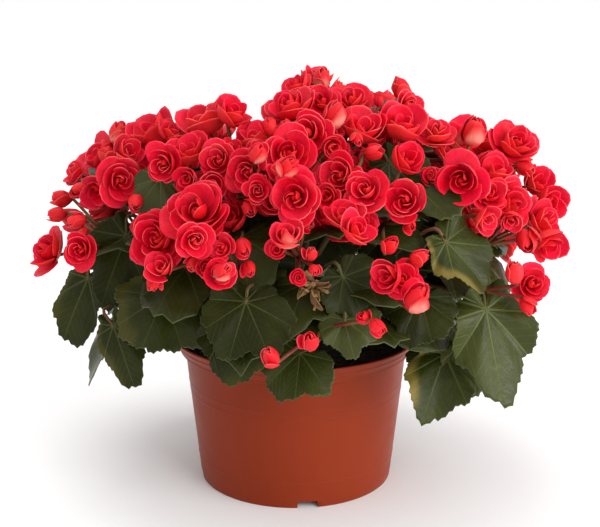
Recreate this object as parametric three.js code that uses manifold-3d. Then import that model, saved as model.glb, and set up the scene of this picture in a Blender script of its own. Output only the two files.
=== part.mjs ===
// A potted begonia: a terracotta-coloured plastic pot filled with soil, a leafy plant that grows from
// one crown, and sprays of red double flowers, half-open flowers and buds.
// Millimetres, +Z up. The origin is the centre of the pot's foot, on the surface it stands on.
import * as THREE from "three";
import { mergeVertices } from "three/addons/utils/BufferGeometryUtils.js";
import Module from "manifold-3d";

const wasm = await Module();
wasm.setup();

// Driving dimensions of the pot
const RIM_RADIUS = 115;
const POT_HEIGHT = 141;
const FOOT_RADIUS = 88;
const FOOT_WIDTH = 6;
const BOTTOM_HEIGHT = 7;
const WALL = 2.6;
const COLLAR_HEIGHT = 18.5;
const WALL_TOP_RADIUS = 101.4;
const POT_SIDES = 36;

// The foot's drainage notches, the first one a little to the right of the front, and the bottom's holes
const NOTCH = { width: 18, topWidth: 16, height: 6.6, count: 4, first: -83 };
const DRAIN = { radius: 5, ring: 55, count: 6, sides: 8 };

// Soil
const SOIL_TOP = 120;
const SOIL_MOUND = 4;
const SOIL_SIDES = 22;
const FIT_GAP = 0.3;

// The crown that every stem and leaf stalk grows from
const CROWN = { radius: 9, foot: 98, top: 146, sides: 8, holeGap: 0.6 };

// The dome on which the blooms' middles lie, and the point that the stems point away from
const DOME = { middle: [4, 0, 190], half: [230, 215, 178] };
const HEART = new THREE.Vector3(0, 0, 165);

// The reference view's camera and picture frame. Columns and rows below are in its 600 x 527 frame.
const VIEW = {
  y: -1500,
  z: 655,
  tilt: THREE.MathUtils.degToRad(16.8),
  focal: 1724.76,
  column: 295.5,
  row: 263.5,
};

// Stalks
const STALK = { radius: 2.3, sides: 5, length: 24, depth: 70, knot: 6, bead: 5, beadRadius: 2.5 };
const PEDICEL = { radius: 1.6, start: 2.2, lean: 0.5 };
const BEND = { share: 0.96, room: 2.6, reach: 8, rounds: 16, pedicel: 1, petiole: 2 };
const STEM = { radius: 4, sides: 5, lift: 6, firstJoint: 0.4, lastJoint: 0.97, joints: 15, choices: 14 };
const BRANCH = { radius: 2.8, sides: 3, own: 16 };
const PETIOLE = { width: 1.7, depth: 1.3, start: 7, drop: 5, lowest: 190 };
const CLEARANCE = 0.4;
const SLIVER = 0.05;
const BLADE = 1.1;
const TOOTH = 0.06;

// Layers of each kind of bloom from its foot to its heart, in shares of the bloom's radius:
// [radius, height, lobing of the radius, lobing of the height]. tail and heart are the two end points.
const FORMS = {
  full_rose: {
    tail: -0.66,
    heart: 0.3,
    layers: [[1, -0.06, 0.09, 0.08], [0.74, 0.03, 0, 0], [0.68, 0.28, 0.07, 0.06], [0.42, 0.2, 0, 0],
      [0.31, 0.46, 0.08, 0.04]],
  },
  rose: {
    tail: -0.66,
    heart: 0.22,
    layers: [[1, -0.04, 0.1, 0.08], [0.66, 0.05, 0, 0], [0.5, 0.38, 0.12, 0.07]],
  },
  cup: { tail: -0.8, heart: 0.28, layers: [[0.82, -0.4, 0, 0], [1, 0.44, 0.08, 0.1], [0.56, 0.34, 0, 0]] },
  bud: { tail: -1, heart: 1.05, layers: [[0.6, -0.5, 0.05, 0], [0.66, 0.2, 0.05, 0]] },
};
const FULL_ROSE_RADIUS = 19;
const SIDES_BY_RADIUS = { rose: [[18, 8], [0, 6]], cup: [[0, 6]], bud: [[11, 6], [0, 4]] };

// Sprays that face the viewer, bloom by bloom: [column, row, lift towards the viewer in mm, radius in mm
// as it looks beside the pot's axis, form, facing to the right, facing up]. The two facings are the axis's
// shares across the picture.
const SHOWN_SPRAYS = [
  ["left_high", [
    [97, 155, 0, 16, "cup", -0.35, 0.6], [120, 137, -6, 10, "bud", 0.25, 0.9],
    [129, 151, -4, 12, "cup", 0.35, 0.6], [121, 180, 8, 18, "rose", 0.05, -0.05],
    [95, 191, -6, 12, "cup", -0.2, -0.4], [74, 172, 0, 10, "rose", -0.75, 0.3],
    [79, 190, -10, 9, "bud", -0.7, -0.3],
  ]],
  ["left_edge", [
    [60, 198, 4, 10, "bud", -0.93, 0.1], [58, 215, 6, 9, "bud", -0.95, -0.25],
    [77, 221, 2, 9, "bud", -0.8, -0.4], [46, 250, 0, 17, "rose", -0.85, 0.05],
    [79, 250, 12, 15, "rose", -0.1, 0],
  ]],
  ["left_front", [
    [154, 238, 10, 22, "rose", -0.12, 0], [161, 267, 4, 11, "cup", -0.35, 0.1],
    [153, 283, 2, 8, "bud", 0.1, -0.9], [197, 210, 4, 24, "rose", 0.08, 0.3],
    [196, 241, 14, 16, "rose", 0, -0.1],
  ]],
  ["front_left", [
    [222, 248, 16, 11, "rose", -0.05, 0], [193, 263, 6, 8, "bud", -0.1, -0.8],
    [206, 267, 2, 8, "cup", 0.1, -0.5], [220, 273, 10, 13, "cup", 0.45, 0.1],
    [243, 247, 4, 10, "bud", 0.15, -0.85], [249, 268, -8, 8, "bud", 0.2, -0.6],
  ]],
  ["upper_left", [
    [151, 128, -2, 19, "cup", -0.25, 0.85], [172, 130, -10, 11, "cup", 0.2, 0.7],
    [163, 164, 12, 14, "rose", -0.1, -0.05], [186, 149, 8, 15, "cup", 0.1, 0.6],
    [186, 179, 6, 9, "cup", -0.15, -0.1], [136, 202, -12, 9, "bud", -0.2, -0.7],
  ]],
  ["upper_mid_left", [
    [204, 117, 0, 18, "cup", -0.1, 0.85], [234, 113, -4, 14, "cup", 0.4, 0.65],
    [217, 160, 12, 14, "rose", -0.35, 0.05], [212, 184, 8, 10, "cup", 0.25, -0.25],
    [233, 148, -6, 10, "cup", 0.2, 0.4],
  ]],
  ["mid_left", [
    [257, 135, -2, 15, "cup", 0.1, 0.7], [269, 128, 4, 8, "bud", 0.1, 0.95],
    [255, 153, 4, 12, "cup", -0.35, 0.55], [247, 172, 14, 16, "rose", -0.05, -0.05],
    [257, 191, 8, 10, "rose", -0.1, -0.25], [249, 208, -8, 9, "bud", 0, -0.7],
  ]],
  ["top_left", [
    [296, 84, 0, 13, "rose", -0.35, 0.65], [289, 105, 2, 20, "rose", -0.15, 0.85],
    [317, 76, -4, 12, "cup", 0.1, 0.9], [322, 99, 8, 14, "rose", 0.05, 0.2],
  ]],
  ["top_right", [
    [351, 97, 0, 17, "rose", 0.15, 0.35], [333, 116, 10, 13, "bud", 0, 0.85],
    [364, 125, 4, 16, "cup", 0.3, 0.75], [379, 101, 0, 5, "bud", 0.1, 0.9],
    [357, 139, 6, 7, "bud", -0.05, -0.85],
  ]],
  ["mid_top", [
    [307, 134, 6, 18, "rose", 0.1, 0.15], [286, 129, -6, 9, "bud", -0.3, 0.8],
    [333, 147, 6, 9, "cup", 0.05, -0.3], [289, 153, 14, 19, "rose", 0.15, 0.15],
    [284, 172, 16, 12, "cup", -0.05, 0.85],
  ]],
  ["middle", [
    [294, 198, 18, 22, "rose", 0.05, -0.1], [308, 224, -2, 7, "bud", 0.2, -0.8],
    [287, 234, 12, 13, "cup", 0.05, 0.6], [277, 249, 8, 8, "cup", -0.2, -0.3],
    [311, 254, 6, 7, "bud", 0.2, 0.6], [314, 270, 12, 6, "bud", 0.3, -0.7],
    [298, 277, 4, 6, "cup", -0.2, -0.1],
  ]],
  ["mid_right", [
    [339, 174, 12, 17, "rose", -0.1, 0.05], [365, 190, 10, 19, "rose", -0.1, 0.45],
    [344, 213, 8, 14, "cup", -0.1, 0.7], [357, 229, 16, 13, "cup", 0.55, 0.35],
    [373, 153, -6, 9, "bud", 0.1, -0.8], [326, 197, -4, 10, "cup", -0.3, 0.1],
  ]],
  ["right_middle", [
    [404, 200, 10, 17, "rose", 0.05, -0.05], [408, 158, 2, 14, "cup", 0.2, 0.4],
    [410, 225, -8, 7, "bud", 0.2, -0.6], [431, 176, -4, 8, "rose", 0.1, 0.2],
    [390, 246, 8, 9, "bud", 0.45, 0.6],
  ]],
  ["top_far_right", [
    [401, 90, 2, 11, "bud", -0.25, 0.85], [411, 105, 6, 13, "rose", 0.5, 0.4],
    [403, 123, 10, 17, "cup", -0.1, 0.75], [436, 131, 2, 15, "rose", 0, 0.85],
    [464, 134, 4, 16, "cup", -0.1, 0.8],
  ]],
  ["right_high", [
    [489, 139, -4, 12, "cup", 0, 0.8], [515, 142, 2, 18, "rose", 0.3, 0.5],
    [524, 168, 10, 9, "bud", 0.6, -0.5], [542, 181, 0, 14, "cup", 0.55, 0.1],
    [553, 204, 4, 14, "cup", 0.8, -0.1],
  ]],
  ["right_rose", [
    [460, 181, 14, 23, "rose", 0, -0.08], [497, 172, 4, 15, "cup", 0.1, 0.5],
    [490, 194, 10, 13, "rose", -0.1, 0.3], [487, 220, 6, 10, "cup", 0.45, -0.5],
    [515, 204, 12, 17, "rose", 0, -0.15],
  ]],
  ["right_low", [
    [543, 220, 8, 17, "rose", 0.35, 0.1], [526, 240, 8, 13, "bud", -0.05, -0.95],
    [547, 246, 2, 14, "cup", 0.25, -0.8], [509, 221, -8, 8, "cup", -0.1, -0.6],
  ]],
  ["right_front", [
    [385, 276, 8, 13, "cup", -0.5, 0.15], [403, 279, 12, 15, "rose", 0.05, -0.05],
    [416, 298, 20, 15, "cup", 0.05, -0.55], [419, 257, 6, 9, "bud", 0.9, 0.15],
  ]],
  ["right_edge", [
    [533, 284, 20, 14, "rose", 0.3, 0.05], [514, 273, 20, 11, "bud", -0.1, 0.95],
    [527, 306, 22, 9, "bud", 0.4, -0.75],
  ]],
  ["low_front", [
    [270, 357, 0, 11, "rose", -0.1, -0.15], [310, 342, 0, 9, "rose", 0.1, 0],
    [363, 318, 0, 8, "bud", -0.85, 0.1], [377, 327, 10, 9, "bud", 0.5, -0.6],
  ]],
];

// Sprays at the sides and back: [name, azimuth from +X, height angle on the dome, share of the dome's
// size, blooms]
const OTHER_SPRAYS = [
  ["back_top_right", 42, 50, 0.93, 4], ["back_top", 84, 57, 0.95, 3], ["back_top_left", 138, 44, 0.92, 4],
  ["back_right", 14, 32, 0.98, 4], ["back_mid_right", 50, 28, 0.98, 4], ["back_mid", 90, 30, 1, 4],
  ["back_mid_left", 130, 26, 0.98, 4], ["back_left", 173, 32, 0.97, 4],
  ["low_right", 10, 12, 0.96, 3], ["low_back_right", 36, 8, 1, 4], ["low_back_mid_right", 65, 8, 1, 3],
  ["low_back", 93, 8, 1, 4], ["low_back_mid_left", 121, 8, 1, 3], ["low_back_left", 148, 8, 0.99, 4],
];
const CLUSTER = {
  spread: 36,
  largest: 20,
  smallest: 13,
  jitter: 7,
  curve: 0.004,
  lean: 0.5,
  lift: 0.25,
  seed: 20417,
};
const SHOWN_SIZE = 1.15;
const SETTLE = { rounds: 80, share: 1, reach: 34 };

// Main stems: [azimuth, height angle, share of the dome's size]
const STEMS = [
  [-8, 20, 0.5], [52, 20, 0.48], [112, 20, 0.48], [172, 20, 0.5], [226, 22, 0.52], [270, 20, 0.54],
  [314, 22, 0.52], [70, 86, 0.56],
];

// Leaves that face the viewer: [column and row of the stalk's end, its y in mm, column and row of the tip,
// width share, facing to the right, facing up, droop, wave]
const SHOWN_LEAVES = [
  [88, 278, -60, 62, 333, 0.55, -0.35, 0.1, 0.1, 0.05],
  [172, 296, -116, 146, 345, 1.35, -0.1, 0.45, 0.1, 0.05],
  [113, 326, -104, 130, 376, 0.6, -0.25, 0.05, 0.05, 0.06],
  [246, 302, -172, 230, 350, 1.4, -0.05, 0.3, 0.12, 0.04],
  [228, 324, -146, 239, 375, 1.05, 0, 0.15, 0.1, 0.05],
  [300, 355, -134, 292, 400, 1.4, 0, 0.52, 0.2, 0.05],
  [344, 320, -158, 362, 350, 1.3, -0.15, 0.35, 0.15, 0.06],
  [341, 278, -178, 362, 317, 1.4, 0.3, 0.2, 0.12, 0.05],
  [420, 300, -138, 402, 340, 1.35, 0.05, 0.4, 0.2, 0.05],
  [442, 240, -146, 486, 284, 1, 0.35, 0.35, 0.1, 0.05],
  [480, 308, -126, 502, 405, 0.68, 0.25, 0.2, 0.08, 0.06],
  [451, 356, -102, 420, 422, 0.72, 0.1, 0.3, 0.04, 0.08],
  [466, 340, -96, 461, 398, 0.8, 0.15, 0.2, 0.1, 0.05],
  [160, 178, -104, 139, 204, 1, -0.1, 0.3, 0.1, 0.05],
  [389, 163, -92, 441, 206, 0.5, -0.1, 0.6, 0.1, 0.04],
  [126, 236, -72, 104, 292, 1, -0.2, 0.15, 0.1, 0.05],
  [270, 262, -120, 276, 300, 1.1, 0.2, 0.1, 0.1, 0.05],
  [438, 262, -64, 436, 300, 1.2, 0.1, 0.2, 0.1, 0.05],
  [246, 196, -84, 232, 250, 1.1, -0.1, 0.2, 0.1, 0.05],
  [322, 214, -90, 312, 262, 1.1, 0, 0.2, 0.1, 0.05],
  [400, 222, -84, 396, 276, 1.2, 0.1, 0.2, 0.1, 0.05],
];

// Leaves at the sides, at the back and between the stems, in rings:
// [first azimuth, last azimuth, count, radius, height, outward reach of the tip, drop of the tip, length]
const LEAF_RINGS = [
  [0, 184, 8, 150, 172, 0.74, -0.6, 66],
  [12, 150, 4, 146, 216, 0.9, -0.25, 50],
  [50, 130, 2, 104, 296, 0.85, 0.1, 46],
];
const LEAF_JITTER = { seed: 7703, turn: 6, reach: 6, sway: 24, step: 11 };

// Materials
function material(color, roughness) {
  return new THREE.MeshStandardMaterial({ color, roughness, metalness: 0 });
}
const POT_MATERIAL = material(0x8f3f2c, 0.5);
const SOIL_MATERIAL = material(0x2a1d15, 0.95);
const GREEN_MATERIAL = material(0x33401c, 0.5);
const PETAL_MATERIAL = material(0xd5122a, 0.45);

// A seeded stream of numbers from 0 to 1, always in the same order
function draws(seed) {
  let state = seed;
  return () => {
    state = (state * 16807) % 2147483647;
    return state / 2147483647;
  };
}

const radians = THREE.MathUtils.degToRad;
const vector = (x, y, z) => new THREE.Vector3(x, y, z);

// Closed geometry to solid and back
function solid(geometry, tolerance = 1e-4) {
  geometry.deleteAttribute("normal");
  geometry.deleteAttribute("uv");
  const merged = mergeVertices(geometry, tolerance);
  return new wasm.Manifold(new wasm.Mesh({
    numProp: 3,
    vertProperties: new Float32Array(merged.attributes.position.array),
    triVerts: new Uint32Array(merged.index.array),
  }));
}

function geometryOf(body) {
  const { vertProperties, triVerts } = body.getMesh();
  const geometry = new THREE.BufferGeometry();
  geometry.setAttribute("position", new THREE.Float32BufferAttribute(vertProperties, 3));
  geometry.setIndex([...triVerts]);
  return geometry;
}

function indexed(points, triangles) {
  const geometry = new THREE.BufferGeometry();
  const positions = points.flatMap((point) => point.toArray());
  geometry.setAttribute("position", new THREE.Float32BufferAttribute(positions, 3));
  geometry.setIndex(triangles.flat());
  return geometry;
}

function joined(solids) {
  return solids.reduce((whole, next) => whole.add(next));
}

// The largest closed shell of a solid: loose scraps are dropped and sealed hollows filled
function largestShell(body) {
  let whole = body;
  for (let shells = whole.decompose(); shells.length > 1; shells = whole.decompose()) {
    shells.sort((a, b) => b.volume() - a.volume());
    whole = solid(geometryOf(shells[0]), 2e-3);
  }
  return whole;
}

function mesh(name, body, finish) {
  const geometry = geometryOf(largestShell(body));
  geometry.computeVertexNormals();
  const result = new THREE.Mesh(geometry, finish);
  result.name = name;
  return result;
}

// The picture's line of sight through a column and row
function sight(column, row) {
  const across = (column - VIEW.column) / VIEW.focal;
  const above = (VIEW.row - row) / VIEW.focal;
  return vector(
    across,
    Math.cos(VIEW.tilt) + above * Math.sin(VIEW.tilt),
    above * Math.cos(VIEW.tilt) - Math.sin(VIEW.tilt),
  );
}

const EYE = vector(0, VIEW.y, VIEW.z);
const PICTURE_UP = vector(0, Math.sin(VIEW.tilt), Math.cos(VIEW.tilt));
const PICTURE_OUT = vector(0, -Math.cos(VIEW.tilt), Math.sin(VIEW.tilt));

// Where a line of sight meets the dome, or passes closest to it, moved towards the viewer by lift
function onDome(column, row, lift) {
  const line = sight(column, row);
  const half = vector(...DOME.half);
  const from = EYE.clone().sub(vector(...DOME.middle)).divide(half);
  const step = line.clone().divide(half);
  const a = step.dot(step);
  const b = from.dot(step);
  const inside = b * b - a * (from.dot(from) - 1);
  const distance = inside > 0 ? (-b - Math.sqrt(inside)) / a : -b / a;
  return EYE.clone().addScaledVector(line, distance - lift);
}

function atDepth(column, row, y) {
  const line = sight(column, row);
  return EYE.clone().addScaledVector(line, (y - VIEW.y) / line.y);
}

// A direction from its shares to the right and up in the picture, the rest of it towards the viewer
function facing(right, up) {
  const out = Math.sqrt(Math.max(0, 1 - right * right - up * up));
  return vector(right, 0, 0).addScaledVector(PICTURE_UP, up).addScaledVector(PICTURE_OUT, out).normalize();
}

function domePoint(azimuth, height, share) {
  const a = radians(azimuth);
  const h = radians(height);
  return vector(
    DOME.middle[0] + share * DOME.half[0] * Math.cos(h) * Math.cos(a),
    DOME.middle[1] + share * DOME.half[1] * Math.cos(h) * Math.sin(a),
    DOME.middle[2] + share * DOME.half[2] * Math.sin(h),
  );
}

// Blooms of one shown spray
function shownBlooms(rows) {
  return rows.map(([column, row, lift, apparent, form, right, up]) => {
    const at = onDome(column, row, lift);
    const radius = (SHOWN_SIZE * apparent * EYE.clone().sub(at).dot(PICTURE_OUT)) / EYE.dot(PICTURE_OUT);
    return { at, axis: facing(right, up), radius, form, shown: true };
  });
}

// Blooms of one spray that the picture doesn't show: a large one, with smaller ones round it
function otherBlooms([, azimuth, height, share, count], draw) {
  const middle = domePoint(azimuth, height, share);
  const out = middle.clone().sub(HEART).normalize();
  const side = vector(0, 0, 1).cross(out).normalize();
  const up = out.clone().cross(side);
  const blooms = [];
  const start = 360 * draw();
  for (let i = 0; i < count; i += 1) {
    const turn = radians(start + (360 * i) / (count - 1));
    const away = i === 0 ? 0 : CLUSTER.spread + CLUSTER.jitter * (draw() - 0.5);
    const at = middle.clone()
      .addScaledVector(side, away * Math.cos(turn))
      .addScaledVector(up, away * Math.sin(turn))
      .addScaledVector(out, CLUSTER.jitter * (draw() - 0.5) - CLUSTER.curve * away * away);
    const lean = CLUSTER.lean * (i > 0 ? 1 : 0.2);
    const axis = out.clone()
      .addScaledVector(side, lean * Math.cos(turn))
      .addScaledVector(up, lean * Math.sin(turn))
      .add(vector(0, 0, CLUSTER.lift)).normalize();
    const size = i === 0 ? CLUSTER.largest : CLUSTER.smallest + 6 * draw();
    const kind = draw();
    const form = i === 0 || kind < 0.45 ? "rose" : kind < 0.8 ? "cup" : "bud";
    blooms.push({ at, axis, radius: form === "bud" ? 0.75 * size : size, form, shown: false });
  }
  return blooms;
}

// Blooms that crowd each other move apart: shown ones along the line of sight, the others straight apart
function settle(blooms) {
  const start = blooms.map((bloom) => bloom.at.clone());
  for (let round = 0; round < SETTLE.rounds; round += 1) {
    for (let i = 0; i < blooms.length; i += 1) {
      for (let j = i + 1; j < blooms.length; j += 1) {
        const [first, second] = [blooms[i], blooms[j]];
        const apart = second.at.clone().sub(first.at);
        const lack = SETTLE.share * (first.radius + second.radius) - apart.length();
        if (lack <= 0) continue;
        const outwards = PICTURE_OUT.clone().multiplyScalar(apart.dot(PICTURE_OUT) >= 0 ? 1 : -1);
        const way = first.shown && second.shown ? outwards : apart.normalize();
        const share = first.shown === second.shown ? 0.5 : 1;
        if (!(first.shown && !second.shown)) first.at.addScaledVector(way, -lack * share);
        if (!(second.shown && !first.shown)) second.at.addScaledVector(way, lack * share);
        for (const [bloom, k] of [[first, i], [second, j]]) {
          bloom.at.sub(start[k]).clampLength(0, SETTLE.reach).add(start[k]);
        }
      }
    }
  }
}

// The frames of a path's sections, each turned from the one before without twist: [point, across, along].
// The path comes from a start with its own way and across direction.
function sections(start, firstWay, firstAcross, path) {
  let before = start;
  let lastWay = firstWay;
  const across = firstAcross.clone();
  return path.map((point, k) => {
    const way = point.clone().sub(before).normalize();
    if (k < path.length - 1) way.add(path[k + 1].clone().sub(point).normalize()).normalize();
    across.applyQuaternion(new THREE.Quaternion().setFromUnitVectors(lastWay, way));
    before = point;
    lastWay = way;
    return [point, across.clone(), way.clone().cross(across)];
  });
}

// One bloom with its stalk as a closed skin: lobed layers round its axis, then three-sided rings along the
// stalk's path. Fuller blooms, grown by extra, without the dips between their layers, are what other
// pieces are cut clear of.
function bloomSolid(bloom, path, turn, extra) {
  const form = FORMS[bloom.form === "rose" && bloom.radius >= FULL_ROSE_RADIUS ? "full_rose" : bloom.form];
  const sides = SIDES_BY_RADIUS[bloom.form].find(([least]) => bloom.radius >= least)[1];
  const radius = bloom.radius + 2 * extra;
  const helper = Math.abs(bloom.axis.z) > 0.9 ? vector(1, 0, 0) : vector(0, 0, 1);
  const across = helper.cross(bloom.axis).normalize();
  const along = bloom.axis.clone().cross(across);
  const place = (share, height, angle) => bloom.at.clone()
    .addScaledVector(bloom.axis, radius * height)
    .addScaledVector(across, radius * share * Math.cos(angle))
    .addScaledVector(along, radius * share * Math.sin(angle));
  const numbered = form.layers.map((layer, k) => [...layer, k]);
  const layers = extra > 0 ? numbered.filter(([, , lobe], k) => lobe > 0 || k === 0) : numbered;
  const highest = Math.max(...layers.map(([, height, , lift]) => height + lift));
  const points = [place(0, extra > 0 ? Math.max(form.heart, highest) : form.heart, 0)];
  [...layers].reverse().forEach(([share, height, lobe, lift, k]) => {
    for (let i = 0; i < sides; i += 1) {
      const side = i % 2 === 0 ? 1 : -1;
      const skew = lobe > 0 ? side * 0.16 + k * 0.25 : k * 0.25;
      const angle = turn + (2 * Math.PI * (i + skew)) / sides;
      points.push(place(share * (1 + side * lobe), height + side * lift, angle));
    }
  });
  const ring = (k, i) => 1 + k * sides + (i % sides);
  const triangles = [];
  for (let i = 0; i < sides; i += 1) {
    triangles.push([0, ring(0, i), ring(0, i + 1)]);
    for (let k = 0; k < layers.length - 1; k += 1) {
      triangles.push([ring(k + 1, i), ring(k + 1, i + 1), ring(k, i + 1)]);
      triangles.push([ring(k + 1, i), ring(k, i + 1), ring(k, i)]);
    }
  }
  const first = points.length;
  const back = bloom.axis.clone().negate();
  const toCorner = place(1, 0, turn + Math.PI / 3).sub(place(0, 0, 0)).normalize();
  const foot = place(0, form.tail, 0);
  const footFrame = [foot, toCorner, back.clone().cross(toCorner)];
  const frames = [footFrame, ...sections(foot, back, toCorner, path.slice(1))];
  for (const [point, side, beside] of frames) {
    for (let i = 0; i < 3; i += 1) {
      const angle = (2 * Math.PI * i) / 3;
      points.push(point.clone().addScaledVector(side, (PEDICEL.radius + 2 * extra) * Math.cos(angle))
        .addScaledVector(beside, (PEDICEL.radius + 2 * extra) * Math.sin(angle)));
    }
  }
  const corner = (k, i) => first + 3 * k + ((3 - i) % 3);
  const facingCorner = (i) => Math.floor((3 * (i + 0.5)) / sides) % 3;
  for (let i = 0; i < sides; i += 1) {
    const [here, next] = [facingCorner(i), facingCorner((i + 1) % sides)];
    triangles.push([ring(layers.length - 1, i), corner(0, here), ring(layers.length - 1, i + 1)]);
    if (here !== next) triangles.push([ring(layers.length - 1, i + 1), corner(0, here), corner(0, next)]);
  }
  for (let k = 0; k < frames.length - 1; k += 1) {
    for (let i = 0; i < 3; i += 1) {
      const j = (i + 1) % 3;
      triangles.push([corner(k, i), corner(k + 1, i), corner(k + 1, j)]);
      triangles.push([corner(k, i), corner(k + 1, j), corner(k, j)]);
    }
  }
  const last = frames.length - 1;
  triangles.push([corner(last, 0), corner(last, 2), corner(last, 1)]);
  return solid(indexed(points, triangles));
}

// A round stalk along a smooth path
function tube(points, radius, sides, steps) {
  const section = new THREE.Shape();
  for (let i = 0; i < sides; i += 1) {
    const angle = (2 * Math.PI * i) / sides;
    const [x, y] = [radius * Math.cos(angle), radius * Math.sin(angle)];
    if (i === 0) section.moveTo(x, y);
    else section.lineTo(x, y);
  }
  section.closePath();
  const straight = points.length === 2;
  const extrudePath = straight ? new THREE.LineCurve3(...points) : new THREE.CatmullRomCurve3(points);
  return solid(new THREE.ExtrudeGeometry(section, { steps, bevelEnabled: false, extrudePath }));
}

// A spray: where its stalk starts and forks, and its blooms on their own stalks
function sprayFrame(blooms) {
  const middle = vector(0, 0, 0);
  blooms.forEach((bloom) => middle.addScaledVector(bloom.at, 1 / blooms.length));
  const inward = HEART.clone().sub(middle).normalize();
  const base = middle.clone().addScaledVector(inward, STALK.depth);
  const fork = middle.clone().addScaledVector(inward, STALK.depth - STALK.length);
  return { base, fork, outward: inward.negate() };
}

// A stalk's path between two points, bent clear of round things in its way where there are any
function clearPath(from, to, things, bends) {
  const lack = (point, thing) => thing.radius * BEND.share + BEND.room - point.distanceTo(thing.at);
  const line = new THREE.Line3(from, to);
  const shortest = (thing) => lack(line.closestPointToPoint(thing.at, true, vector(0, 0, 0)), thing);
  const nearby = things.filter((thing) => shortest(thing) > -BEND.reach);
  if (!nearby.some((thing) => shortest(thing) > 0)) return [from, to];
  const path = Array.from({ length: bends + 2 }, (_, k) => from.clone().lerp(to, k / (bends + 1)));
  for (let round = 0; round < BEND.rounds; round += 1) {
    for (let k = 0; k <= bends; k += 1) {
      for (const share of [0.01, 0.34, 0.67]) {
        const point = path[k].clone().lerp(path[k + 1], share);
        for (const thing of nearby) {
          const push = lack(point, thing);
          if (push <= 0) continue;
          const way = point.clone().sub(thing.at).normalize().multiplyScalar(0.5 * push);
          if (k > 0) path[k].add(way);
          if (k < bends) path[k + 1].add(way);
        }
      }
    }
  }
  return path;
}

function bloomFoot(bloom) {
  return bloom.at.clone().addScaledVector(bloom.axis, FORMS[bloom.form].tail * bloom.radius);
}

// The paths of a spray's flower stalks, from each bloom's foot to the fork
function pedicelPaths(blooms, frame, allBlooms) {
  return blooms.map((bloom) => {
    const foot = bloomFoot(bloom);
    const end = frame.fork.clone().addScaledVector(foot.clone().sub(frame.fork).normalize(), PEDICEL.start);
    return clearPath(foot, end, allBlooms.filter((other) => other !== bloom), BEND.pedicel);
  });
}

// No bloom looks back at the fork its stalk comes from: its axis turns away from it where it has to
function turnFromFork(bloom, fork) {
  const away = bloom.at.clone().sub(fork).normalize();
  const along = bloom.axis.dot(away);
  if (along >= PEDICEL.lean) return;
  bloom.axis.addScaledVector(away, -along).setLength(Math.sqrt(1 - PEDICEL.lean ** 2));
  bloom.axis.addScaledVector(away, PEDICEL.lean);
}

function spraySolids({ blooms, frame, paths, seed }, extra) {
  const draw = draws(seed);
  const start = frame.base.clone().addScaledVector(frame.outward, -extra);
  const knot = new THREE.OctahedronGeometry(STALK.knot + 2 * extra);
  knot.translate(frame.fork.x, frame.fork.y, frame.fork.z);
  const stalk = tube([start, frame.fork], STALK.radius + 1.3 * extra, STALK.sides, 1);
  const heads = blooms.map((bloom, k) => bloomSolid(bloom, paths[k], 2 * Math.PI * draw(), extra));
  return [stalk, solid(knot), ...heads];
}

// Leaf outline: an oblique heart shape, its reach from the stalk's end in the direction of angle
function leafReach(angle, width) {
  const heart = 0.66 + 0.28 * Math.cos(angle) + 0.06 * Math.cos(2 * angle);
  const sinus = 1 - 0.85 * Math.exp(-(((Math.PI - Math.abs(angle)) / 0.35) ** 2));
  const oblique = 1 + 0.12 * Math.sin(angle);
  const across = 1 / Math.hypot(Math.cos(angle), Math.sin(angle) / width);
  const point = 1 + 0.1 * Math.exp(-((angle / 0.3) ** 2));
  return heart * sinus * oblique * across * point;
}

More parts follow.
